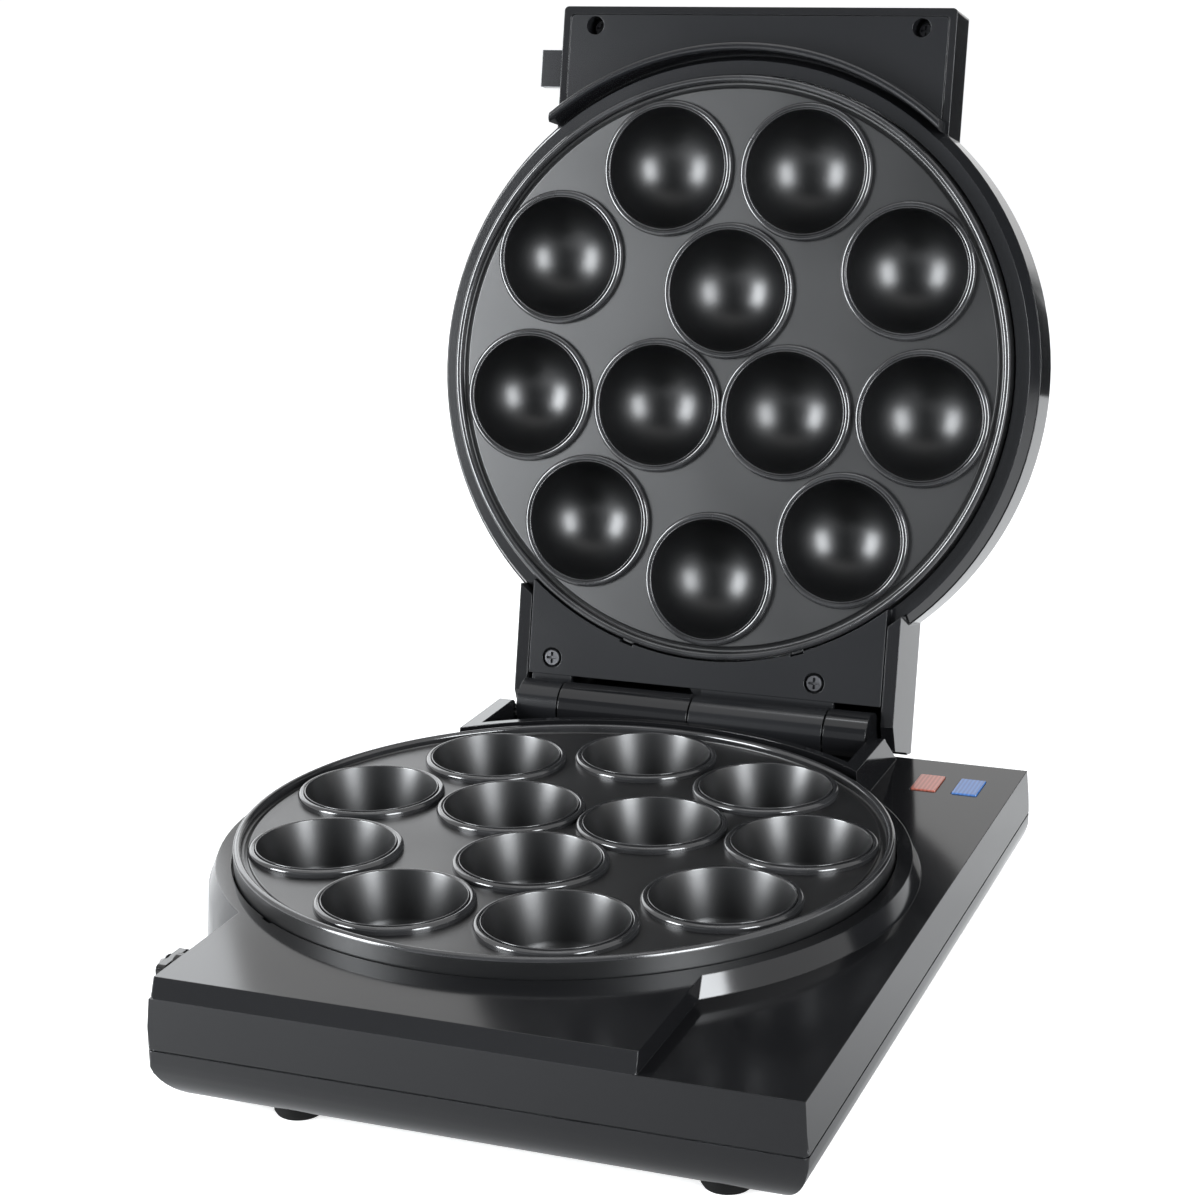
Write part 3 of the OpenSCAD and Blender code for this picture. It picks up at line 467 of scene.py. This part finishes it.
def make_painted_highlight_group():
    """A mask of painted highlight on the edges, where faces are marked as edges, broken up by noise."""
    group, source, sink = new_group(
        "Edge wear",
        [("Vector", "NodeSocketVector", None), ("Amount", "NodeSocketFloat", 0.3)],
        [("Mask", "NodeSocketFloat")],
    )
    marked = group.nodes.new("ShaderNodeAttribute")
    marked.attribute_name = EDGE_MARK
    broken = noise(group, source.outputs["Vector"], 60, 3)
    patches = span(group, broken.outputs["Fac"], 0.25, 0.6, 0.3, 1)
    both = times(group, marked.outputs["Fac"], patches)
    group.links.new(times(group, both, source.outputs["Amount"]), sink.inputs["Mask"])
    return group


def make_grain_group():
    """Moulded or coated surface: a fine height and a slow unevenness."""
    group, source, sink = new_group(
        "Surface grain",
        [("Vector", "NodeSocketVector", None), ("Fine scale", "NodeSocketFloat", 2600),
         ("Slow scale", "NodeSocketFloat", 22), ("Fine share", "NodeSocketFloat", 0.6)],
        [("Height", "NodeSocketFloat"), ("Unevenness", "NodeSocketFloat")],
    )
    fine = noise(group, source.outputs["Vector"], 2600, 2, 0.6)
    group.links.new(source.outputs["Fine scale"], fine.inputs["Scale"])
    slow = noise(group, source.outputs["Vector"], 22, 2, 0.4)
    group.links.new(source.outputs["Slow scale"], slow.inputs["Scale"])
    blend = group.nodes.new("ShaderNodeMix")
    group.links.new(source.outputs["Fine share"], blend.inputs[0])
    group.links.new(slow.outputs["Fac"], blend.inputs[2])
    group.links.new(fine.outputs["Fac"], blend.inputs[3])
    group.links.new(blend.outputs[0], sink.inputs["Height"])
    group.links.new(slow.outputs["Fac"], sink.inputs["Unevenness"])
    return group


def make_dust_group():
    """Sparse specks of dust that lie on what faces up."""
    group, source, sink = new_group(
        "Dust",
        [("Vector", "NodeSocketVector", None), ("Amount", "NodeSocketFloat", 0.2)],
        [("Mask", "NodeSocketFloat")],
    )
    shape = group.nodes.new("ShaderNodeNewGeometry")
    split = group.nodes.new("ShaderNodeSeparateXYZ")
    group.links.new(shape.outputs["Normal"], split.inputs[0])
    up = span(group, split.outputs["Z"], 0.2, 1, 0, 1)
    specks = noise(group, source.outputs["Vector"], 900, 4, 0.7)
    sparse = span(group, specks.outputs["Fac"], 0.66, 0.8, 0, 1)
    both = times(group, up, sparse)
    group.links.new(times(group, both, source.outputs["Amount"]), sink.inputs["Mask"])
    return group


def put_group(tree, group, vector, **values):
    node = tree.nodes.new("ShaderNodeGroup")
    node.node_tree = group
    tree.links.new(vector, node.inputs["Vector"])
    for label, value in values.items():
        node.inputs[label.replace("_", " ")].default_value = value
    return node


def finish(name, colour, highlight_colour, rough, rough_span, bump, fine, slow, painted_highlight, dust,
           metallic=0.0, ior=1.5, fine_share=0.6, polish=None, edge=0.0):
    """A finish with its own colour, gloss, unevenness, a painted highlight on its marked edges, and dust.

    polish is its roughness where faces are marked as edges, and edge the radius its edges seem to have.
    """
    material = bpy.data.materials.new(name)
    material.use_nodes = True
    tree = material.node_tree
    shader = tree.nodes["Principled BSDF"]
    shader.inputs["IOR"].default_value = ior
    shader.inputs["Metallic"].default_value = metallic
    where = tree.nodes.new("ShaderNodeTexCoord").outputs["Object"]
    grain = put_group(tree, GROUPS["grain"], where, Fine_scale=fine, Slow_scale=slow, Fine_share=fine_share)
    painted_edge_light = put_group(tree, GROUPS["painted_highlight"], where, Amount=painted_highlight)
    specks = put_group(tree, GROUPS["dust"], where, Amount=dust)

    darker, lighter = ([c * share for c in colour[:3]] for share in TONE_SPAN)
    tone = mix_colours(tree, grain.outputs["Unevenness"], darker, lighter)
    # Marked edges are mixed towards a lighter colour: a painted edge highlight.
    with_painted_highlight = mix_colours(tree, painted_edge_light.outputs["Mask"], tone, highlight_colour)
    dusty = mix_colours(tree, specks.outputs["Mask"], with_painted_highlight, DUST_COLOUR)
    tree.links.new(dusty, shader.inputs["Base Color"])

    uneven = span(tree, grain.outputs["Unevenness"], 0.3, 0.7, rough - rough_span, rough + rough_span)
    if polish is not None:
        marked = tree.nodes.new("ShaderNodeAttribute")
        marked.attribute_name = EDGE_MARK
        uneven = span(tree, marked.outputs["Fac"], 0, 1, uneven, polish)
    tree.links.new(uneven, shader.inputs["Roughness"])
    height = tree.nodes.new("ShaderNodeBump")
    height.inputs["Strength"].default_value = bump
    height.inputs["Distance"].default_value = BUMP_REACH
    tree.links.new(grain.outputs["Height"], height.inputs["Height"])
    if edge > 0:
        soft = tree.nodes.new("ShaderNodeBevel")
        soft.samples = 4
        soft.inputs["Radius"].default_value = edge
        tree.links.new(soft.outputs["Normal"], height.inputs["Normal"])
    tree.links.new(height.outputs["Normal"], shader.inputs["Normal"])
    return material


def lens_finish(name, colour):
    """Coloured translucent plastic with a faint ribbed inside."""
    material = bpy.data.materials.new(name)
    material.use_nodes = True
    tree = material.node_tree
    shader = tree.nodes["Principled BSDF"]
    shader.inputs["IOR"].default_value = 1.49
    shader.inputs["Coat Weight"].default_value = 0.4
    shader.inputs["Subsurface Weight"].default_value = 0.25
    shader.inputs["Subsurface Radius"].default_value = (0.004, 0.003, 0.003)
    where = tree.nodes.new("ShaderNodeTexCoord").outputs["Object"]
    ribs = tree.nodes.new("ShaderNodeTexWave")
    ribs.bands_direction = "X"
    ribs.inputs["Scale"].default_value = 260
    ribs.inputs["Distortion"].default_value = 0.4
    tree.links.new(where, ribs.inputs["Vector"])
    darker, lighter = ([min(1, c * share) for c in colour[:3]] for share in RIB_SPAN)
    tree.links.new(mix_colours(tree, ribs.outputs["Fac"], darker, lighter), shader.inputs["Base Color"])
    tree.links.new(span(tree, ribs.outputs["Fac"], 0, 1, 0.16, 0.24), shader.inputs["Roughness"])
    return material


GROUPS = {}
FINISH = {}


def make_finishes():
    colours = bpy.context.scene.cakepop_colours
    GROUPS["painted_highlight"] = make_painted_highlight_group()
    GROUPS["grain"] = make_grain_group()
    GROUPS["dust"] = make_dust_group()
    # Each finish's second colour is a painted edge highlight, mixed in where faces are marked as edges.
    FINISH["housing"] = finish(
        "Glossy black plastic", colours.housing, (0.34, 0.35, 0.36), 0.11, 0.02,
        bump=0.03, fine=700, slow=14, fine_share=0.25, painted_highlight=0.75, dust=0.05, edge=0.0004)
    FINISH["lid_panel"] = finish(
        "Satin black plastic", colours.panel, (0.26, 0.27, 0.28), 0.18, 0.02,
        bump=0.06, fine=2400, slow=18, fine_share=0.6, painted_highlight=0.6, dust=0.05, edge=0.0003)
    FINISH["cooking_plate"] = finish(
        "Non-stick coating", colours.coating, (0.05, 0.05, 0.052), 0.36, 0.03,
        bump=0.12, fine=3200, slow=30, fine_share=0.75, painted_highlight=0.5, dust=0.04, ior=1.65, polish=0.12)
    FINISH["screws"] = finish(
        "Blackened screws", colours.screw, (0.35, 0.35, 0.36), 0.36, 0.05, metallic=0.85,
        bump=0.1, fine=2000, slow=200, painted_highlight=0.6, dust=0.05)
    FINISH["pin_steel"] = finish(
        "Plain steel", colours.steel, (0.7, 0.7, 0.71), 0.3, 0.06, metallic=1,
        bump=0.1, fine=1800, slow=90, painted_highlight=0.3, dust=0.05)
    FINISH["sheet"] = finish(
        "Aluminised sheet", (0.6, 0.6, 0.6, 1), (0.75, 0.75, 0.75), 0.38, 0.08, metallic=1,
        bump=0.15, fine=900, slow=60, painted_highlight=0.3, dust=0.1)
    FINISH["heating_tube"] = finish(
        "Oxidised tube", (0.16, 0.15, 0.14, 1), (0.3, 0.28, 0.26), 0.5, 0.1, metallic=0.7,
        bump=0.3, fine=1500, slow=80, painted_highlight=0.3, dust=0.1)
    FINISH["thermostat"] = finish(
        "Dark moulding", (0.03, 0.028, 0.026, 1), (0.08, 0.08, 0.08), 0.5, 0.05,
        bump=0.2, fine=1500, slow=80, painted_highlight=0.2, dust=0.1)
    FINISH["ceramic"] = finish(
        "Off-white moulding", (0.72, 0.69, 0.62, 1), (0.8, 0.78, 0.72), 0.5, 0.06,
        bump=0.2, fine=1500, slow=80, painted_highlight=0.2, dust=0.1)
    FINISH["rubber"] = finish(
        "Black rubber", (0.006, 0.006, 0.006, 1), (0.03, 0.03, 0.03), 0.62, 0.06, ior=1.25,
        bump=0.3, fine=1800, slow=90, painted_highlight=0.3, dust=0.3)
    FINISH["red_lens"] = lens_finish("Red lens", colours.red)
    FINISH["blue_lens"] = lens_finish("Blue lens", colours.blue)


# Pieces


def cavity_profile(sizes, straight, draft):
    """From the bottom of a cavity up its round part and its straight wall, which leans out by its draft."""
    lean = math.tan(math.radians(draft))
    wall_r = sizes.cavity_radius - straight * lean
    share = (sizes.cavity_depth - straight) * lean / wall_r
    start = share / (1 - share)
    tall = (sizes.cavity_depth - straight) / (1 - start)
    wide = wall_r / math.cos(math.asin(start))
    centre_z = tall * start - straight
    foot = -math.degrees(math.asin(start))
    points = [(wide * x, centre_z + tall * z) for x, z in arc((0, 0), 1, -89.9, foot, 24)]
    steps = 6
    for i in range(1, steps):
        rise = straight * i / steps
        points.append((wall_r + rise * lean, rise - straight))
    points.append((sizes.cavity_radius - sizes.lip_support * lean, -sizes.lip_support))
    return points


def cup_profile(sizes, straight, draft):
    """From the bottom of the cavity up its drafted wall, over the lip and bead, and back under the cup."""
    r = sizes.cavity_radius
    lip, bead = 0.0004, 0.0011
    bead_in, bead_down = 0.0003, 0.0002
    foot_down, under, root = 0.0004, 0.0006, 0.0045
    flat = -sizes.lip_height
    outer = r + sizes.cup_wall
    points = cavity_profile(sizes, straight, draft)
    points += arc((r + lip / 2, -lip / 2), lip / 2, 180, 0, 6)
    points += arc((r + lip + bead - bead_in, -bead - bead_down), bead, 150, 0, 10)
    points += [(r + lip + 2 * bead - bead_in, flat - foot_down), (outer - under, flat - under)]
    points += arc((0, 0), outer, -math.degrees(math.asin(root / outer)), -89.9, 12)
    return points


def cavity_places():
    places = []
    for count, ring_r, first in ((OUTER_CUPS, OUTER_RING_R, 90), (INNER_CUPS, INNER_RING_R, -90)):
        for k in range(count):
            a = math.radians(first + 360 / count * k)
            places.append(Vector((ring_r * math.cos(a), ring_r * math.sin(a), 0)))
    return places


def rim_profile(sizes):
    """The plate's flat, gutter, rim and outer wall, as one closed outline from the middle out and back."""
    flat = -sizes.lip_height
    under = flat - sizes.cup_wall
    middle, rim, gutter = 0.0001, 0.0022, 0.0022
    brow, fillet, floor_in, fillet_in, foot = 0.0006, 0.0007, 0.0009, 0.0006, 0.0004
    r = PLATE_R
    points = [(middle, flat), (r - rim - gutter, flat)]
    points += arc((r - rim - gutter, flat - brow), brow, 90, 20, 4)
    points += [(r - rim - floor_in, flat - fillet)]
    points += arc((r - rim - fillet_in, flat), fillet, -90, 0, 4)
    points += arc((r - rim / 2, -rim / 2), rim / 2, 180, 0, 12)
    points += [(r, -RIM_H + foot), (r - foot, -RIM_H), (r - rim + foot, -RIM_H)]
    points += [(r - rim, -RIM_H + foot), (r - rim, under), (middle, under)]
    return points


def mark_rim(obj, centre, radius, height):
    """Marks the faces outside a radius and above a height as edges, where the coating is smoothest and a highlight
    is painted.
    """
    mark_edges(obj, lambda face: (face.center - centre).xy.length > radius and face.center.z > height)


def make_plate(name, straight, draft, tabs, tab_tall):
    """A cast plate: a turned disc, bored for the cups, with the cups set in and tabs on its rim."""
    sizes = bpy.context.scene.cakepop_sizes
    disc = turned(name, rim_profile(sizes), PLATE, PLATE_STEPS)
    places = cavity_places()
    let_go()
    bpy.ops.mesh.primitive_cylinder_add(
        vertices=64, radius=sizes.cavity_radius + sizes.cup_wall / 2, depth=0.02,
        location=PLATE + places[0])
    drill = bpy.context.object
    place_in_mesh(drill)
    drills = [drill]
    for place in places[1:]:
        twin = copy_object(drill, "drill")
        twin.data.transform(Matrix.Translation(place - places[0]))
        drills.append(twin)
    cutter = join(drills[0], *drills[1:])
    bore = disc.modifiers.new("Bore", "BOOLEAN")
    bore.operation = "DIFFERENCE"
    bore.solver = "EXACT"
    bore.object = cutter
    apply_modifiers(disc)
    bpy.data.objects.remove(cutter)
    flat_z = PLATE.z - sizes.lip_height
    mark_rim(disc, PLATE, PLATE_R - sizes.rim_band, flat_z + sizes.small_step)

    cup = turned("cup", cup_profile(sizes, straight, draft), PLATE + places[0], CUP_STEPS)
    mark_rim(cup, PLATE + places[0], sizes.cavity_radius - sizes.small_step, flat_z - sizes.small_step)
    cups = [cup]
    for place in places[1:]:
        twin = copy_object(cup, "cup")
        twin.data.transform(Matrix.Translation(place - places[0]))
        cups.append(twin)
    join(disc, *cups)

    for angle in tabs:
        let_go()
        bpy.ops.mesh.primitive_cube_add(size=1, location=(0, 0, 0))
        tab = bpy.context.object
        tab.scale = (TAB_DEEP, TAB_WIDE, tab_tall)
        place_in_mesh(tab)
        bevel = tab.modifiers.new("Edge", "BEVEL")
        bevel.width = TAB_EDGE
        bevel.segments = EDGE_STEPS
        apply_modifiers(tab)
        turn = Matrix.Rotation(math.radians(angle), 4, "Z")
        on_rim = Matrix.Translation((PLATE_R, 0, tab_tall / 2 + TAB_FOOT))
        tab.data.transform(Matrix.Translation(PLATE) @ turn @ on_rim)
        join(disc, tab)
    smooth(disc, PLATE_HARD_FROM)
    even_shading(disc)
    return disc


class CAKEPOP_OT_plates(bpy.types.Operator):
    """Casts the two plates"""

    bl_idname = "cakepop.plates"
    bl_label = "Plates"

    def execute(self, context):
        sizes = context.scene.cakepop_sizes
        lower = make_plate(
            "lower_cast_plate", sizes.lower_straight, sizes.lower_draft, LOWER_TABS, LOWER_TAB_TALL)
        finish_piece(lower, "base", "cooking_plate", FINISH["cooking_plate"], "lower_plate")
        upper = make_plate(
            "upper_cast_plate", sizes.upper_straight, sizes.upper_draft, UPPER_TABS, UPPER_TAB_TALL)
        upper.data.transform(lid_place())
        finish_piece(upper, "lid", "cooking_plate", FINISH["cooking_plate"], "upper_plate")
        return {"FINISHED"}


class CAKEPOP_OT_housings(bpy.types.Operator):
    """Rounds the edges of the housings and the lid's mouldings"""

    bl_idname = "cakepop.housings"
    bl_label = "Housings"

    def execute(self, context):
        edge = context.scene.cakepop_sizes.housing_edge
        for node, body, slot in (
            ("upper_housing", "base", "housing"),
            ("lower_housing", "base", "housing"),
            ("lid_cover", "lid", "housing"),
            ("lid_frame", "lid", "lid_panel"),
        ):
            piece = eased(node, node + "_shell", edge)
            finish_piece(piece, body, slot, FINISH[slot], node)
        return {"FINISHED"}


class CAKEPOP_OT_latch(bpy.types.Operator):
    """Rounds the edges of the latch's lever and lug"""

    bl_idname = "cakepop.latch"
    bl_label = "Latch"

    def execute(self, context):
        edge = context.scene.cakepop_sizes.small_edge
        for node, body, slot in (
            ("latch_lever", "lever", "housing"),
            ("latch_lug", "lid", "lid_panel"),
        ):
            piece = eased(node, node + "_moulding", edge)
            finish_piece(piece, body, slot, FINISH[slot], node)
        return {"FINISHED"}


class CAKEPOP_OT_lamps(bpy.types.Operator):
    """Rounds the lamp lenses"""

    bl_idname = "cakepop.lamps"
    bl_label = "Lamps"

    def execute(self, context):
        edge = context.scene.cakepop_sizes.small_edge
        for node, slot in (("power_lens", "red_lens"), ("ready_lens", "blue_lens")):
            piece = eased(node, node + "_cap", edge)
            finish_piece(piece, "base", slot, FINISH[slot], node)
        return {"FINISHED"}


class CAKEPOP_OT_fittings(bpy.types.Operator):
    """Gives the screws, pins, feet and inner pieces their finishes"""

    bl_idname = "cakepop.fittings"
    bl_label = "Fittings"

    def execute(self, context):
        slots = {s["node"]: s["material_slot"] for s in frame["record"]["subparts"]}
        for name, node in NODES.items():
            node.data.materials.clear()
            node.data.materials.append(FINISH[slots[name]])
        return {"FINISHED"}


# Each card's name, place, size and glow, and each lamp's name, power, place and size. The cards are dark sheets
# that only glosses see, with a faint glow: painted reflections of a dim room.
DARK_CARDS = (
    ("dark_end", (0, -1.7, 1.35), (4.4, 2.7), 0.12),
    ("dark_side", (0.92, 0.8, 0.45), (1.5, 1.1), 0.01),
)
LAMPS = (
    ("left soft box", "key_power", (-0.90, -0.80, 0.38), (0.46, 0.8)),
    ("right soft box", "fill_power", (1.01, -0.65, 0.40), (0.46, 0.8)),
    ("front panel", "front_power", (-0.45, -1.35, 0.45), (0.9, 0.9)),
    ("low back panel", "low_power", (-0.37, 0.75, 0.30), (0.3, 0.18)),
    ("back soft box", "back_power", (-0.84, 0.66, 0.5), (0.6, 0.6)),
    ("top strip", "top_power", (0, 0.1, 1.3), (0.7, 0.12)),
)
LAMP_TINT = (0.94, 0.97, 1)
LAMP_AIM = Vector((0, 0.05, 0.12))


class CAKEPOP_OT_stage(bpy.types.Operator):
    """Sets up the floor, the soft light and the camera"""

    bl_idname = "cakepop.stage"
    bl_label = "Studio"

    def execute(self, context):
        studio = context.scene.cakepop_studio
        self.make_floor(studio)
        self.make_room(context, studio)
        for card in DARK_CARDS:
            self.make_dark_card(*card)
        self.make_lights(studio)
        self.make_camera(context, studio)
        context.scene.view_settings.view_transform = "Standard"
        return {"FINISHED"}

    def make_floor(self, studio):
        let_go()
        bpy.ops.mesh.primitive_plane_add(size=12, location=(0, 0, CAD_BOX[0][2]))
        floor = bpy.context.object
        floor.name = "floor"
        place_in_mesh(floor)
        material = bpy.data.materials.new("Pale floor")
        material.use_nodes = True
        tree = material.node_tree
        shader = tree.nodes["Principled BSDF"]
        shader.inputs["Roughness"].default_value = 0.9
        shader.inputs["Specular IOR Level"].default_value = 0.1
        where = tree.nodes.new("ShaderNodeSeparateXYZ")
        tree.links.new(tree.nodes.new("ShaderNodeTexCoord").outputs["Object"], where.inputs[0])
        # Glosses see the floor's glow fade towards the front, where the object stands: painted shade in
        # reflections.
        behind = span(tree, where.outputs["Y"], -0.25, 0.15, 0, 0.6)
        lift = times(tree, self.seen_rays(tree, behind), studio.floor_lift)
        # Glosses see the floor in front of and to the right of the object darkened: painted shade in reflections.
        in_front = span(tree, where.outputs["Y"], -0.15, 0, 1, 0)
        to_the_right = span(tree, where.outputs["X"], -0.12, 0.08, 0, 0.6)
        glossy = tree.nodes.new("ShaderNodeLightPath").outputs["Is Glossy Ray"]
        painted_shade = times(tree, times(tree, in_front, to_the_right), glossy)
        tree.links.new(mix_colours(tree, painted_shade, studio.floor, FLOOR_PAINTED_SHADE), shader.inputs["Base Color"])
        shader.inputs["Emission Color"].default_value = (1, 1, 1, 1)
        tree.links.new(lift, shader.inputs["Emission Strength"])
        floor.data.materials.append(material)

    def seen_rays(self, tree, gloss=1.0):
        """How far a ray shows the background: to the camera and a glass in full, and to a gloss by gloss."""
        path = tree.nodes.new("ShaderNodeLightPath")
        add = tree.nodes.new("ShaderNodeMath")
        add.operation = "MULTIPLY_ADD"
        if isinstance(gloss, (int, float)):
            add.inputs[1].default_value = gloss
        else:
            tree.links.new(gloss, add.inputs[1])
        more = tree.nodes.new("ShaderNodeMath")
        more.operation = "ADD"
        more.use_clamp = True
        tree.links.new(path.outputs["Is Glossy Ray"], add.inputs[0])
        tree.links.new(path.outputs["Is Camera Ray"], add.inputs[2])
        tree.links.new(add.outputs[0], more.inputs[0])
        tree.links.new(path.outputs["Is Transmission Ray"], more.inputs[1])
        return more.outputs[0]

    def make_room(self, context, studio):
        world = context.scene.world or bpy.data.worlds.new("Room")
        context.scene.world = world
        world.use_nodes = True
        tree = world.node_tree
        tree.nodes.clear()
        room = tree.nodes.new("ShaderNodeBackground")
        room.inputs["Color"].default_value = (0.95, 0.975, 1, 1)
        room.inputs["Strength"].default_value = studio.sky
        seen = tree.nodes.new("ShaderNodeBackground")
        seen.inputs["Color"].default_value = (1, 1, 1, 1)
        seen.inputs["Strength"].default_value = 1
        mix = tree.nodes.new("ShaderNodeMixShader")
        tree.links.new(self.seen_rays(tree), mix.inputs["Fac"])
        tree.links.new(room.outputs[0], mix.inputs[1])
        tree.links.new(seen.outputs[0], mix.inputs[2])
        out = tree.nodes.new("ShaderNodeOutputWorld")
        tree.links.new(mix.outputs[0], out.inputs["Surface"])

    def make_dark_card(self, name, place, size, glow):
        """A dark sheet upright in the room, which only glosses show, with a faint glow: a painted dark reflection.
        """
        let_go()
        bpy.ops.mesh.primitive_plane_add(size=1, location=place, rotation=(math.pi / 2, 0, 0))
        card = bpy.context.object
        card.name = name
        card.scale = (size[0], size[1], 1)
        place_in_mesh(card)
        card.visible_camera = False
        card.visible_diffuse = False
        card.visible_shadow = False
        card.visible_transmission = False
        material = bpy.data.materials.new("Dark cloth of " + name)
        material.use_nodes = True
        shader = material.node_tree.nodes["Principled BSDF"]
        shader.inputs["Base Color"].default_value = (0.01, 0.01, 0.01, 1)
        shader.inputs["Roughness"].default_value = 1
        shader.inputs["Specular IOR Level"].default_value = 0
        # The faint glow, though the card is no lamp, is painted light in reflections.
        shader.inputs["Emission Color"].default_value = (0.9, 0.95, 1, 1)
        shader.inputs["Emission Strength"].default_value = glow
        card.data.materials.append(material)

    def make_lights(self, studio):
        for name, power, place, size in LAMPS:
            let_go()
            bpy.ops.object.light_add(type="AREA", location=place)
            lamp = bpy.context.object
            lamp.name = name
            lamp.data.shape = "RECTANGLE"
            lamp.data.size, lamp.data.size_y = size
            lamp.data.energy = getattr(studio, power)
            lamp.data.color = LAMP_TINT
            ahead = LAMP_AIM - Vector(place)
            lamp.rotation_euler = ahead.to_track_quat("-Z", "Y").to_euler()

    def make_camera(self, context, studio):
        azimuth, elevation, roll = (
            math.radians(a) for a in (CAMERA_AZIMUTH, CAMERA_ELEVATION, CAMERA_ROLL))
        ahead = Vector((
            -math.sin(azimuth) * math.cos(elevation),
            math.cos(azimuth) * math.cos(elevation),
            -math.sin(elevation),
        ))
        right = ahead.cross(Vector((0, 0, 1))).normalized()
        up = right.cross(ahead)
        right, up = (
            right * math.cos(roll) + up * math.sin(roll),
            up * math.cos(roll) - right * math.sin(roll),
        )
        data = bpy.data.cameras.new("camera")
        data.lens = studio.lens
        data.sensor_width = 36
        data.shift_x, data.shift_y = CAMERA_SHIFT
        camera = bpy.data.objects.new("camera", data)
        context.scene.collection.objects.link(camera)
        turn = Matrix((right, up, -ahead)).transposed().to_4x4()
        camera.matrix_world = Matrix.Translation(PLATE + CAMERA_PLACE) @ turn
        context.scene.camera = camera


class CAKEPOP_PT_panel(bpy.types.Panel):
    """Lists the steps in the sidebar"""

    bl_idname = "CAKEPOP_PT_panel"
    bl_label = "Cake pop maker"
    bl_space_type = "VIEW_3D"
    bl_region_type = "UI"
    bl_category = "Cake pop maker"

    def draw(self, context):
        layout = self.layout
        scene = context.scene
        for group in (scene.cakepop_sizes, scene.cakepop_colours, scene.cakepop_studio):
            for name in group.__annotations__:
                layout.prop(group, name)
        for step in STEPS:
            layout.operator(step.bl_idname)


STEPS = (
    CAKEPOP_OT_fittings,
    CAKEPOP_OT_plates,
    CAKEPOP_OT_housings,
    CAKEPOP_OT_latch,
    CAKEPOP_OT_lamps,
    CAKEPOP_OT_stage,
)
CLASSES = (CakePopSizes, CakePopColours, CakePopStudio) + STEPS + (CAKEPOP_PT_panel,)


def register():
    for cls in CLASSES:
        bpy.utils.register_class(cls)
    bpy.types.Scene.cakepop_sizes = bpy.props.PointerProperty(type=CakePopSizes)
    bpy.types.Scene.cakepop_colours = bpy.props.PointerProperty(type=CakePopColours)
    bpy.types.Scene.cakepop_studio = bpy.props.PointerProperty(type=CakePopStudio)


def unregister():
    del bpy.types.Scene.cakepop_studio
    del bpy.types.Scene.cakepop_colours
    del bpy.types.Scene.cakepop_sizes
    for cls in reversed(CLASSES):
        bpy.utils.unregister_class(cls)


def main():
    register()
    make_finishes()
    bpy.ops.cakepop.fittings()
    bpy.ops.cakepop.plates()
    bpy.ops.cakepop.housings()
    bpy.ops.cakepop.latch()
    bpy.ops.cakepop.lamps()
    bpy.ops.cakepop.stage()


if __name__ == "__main__":
    main()
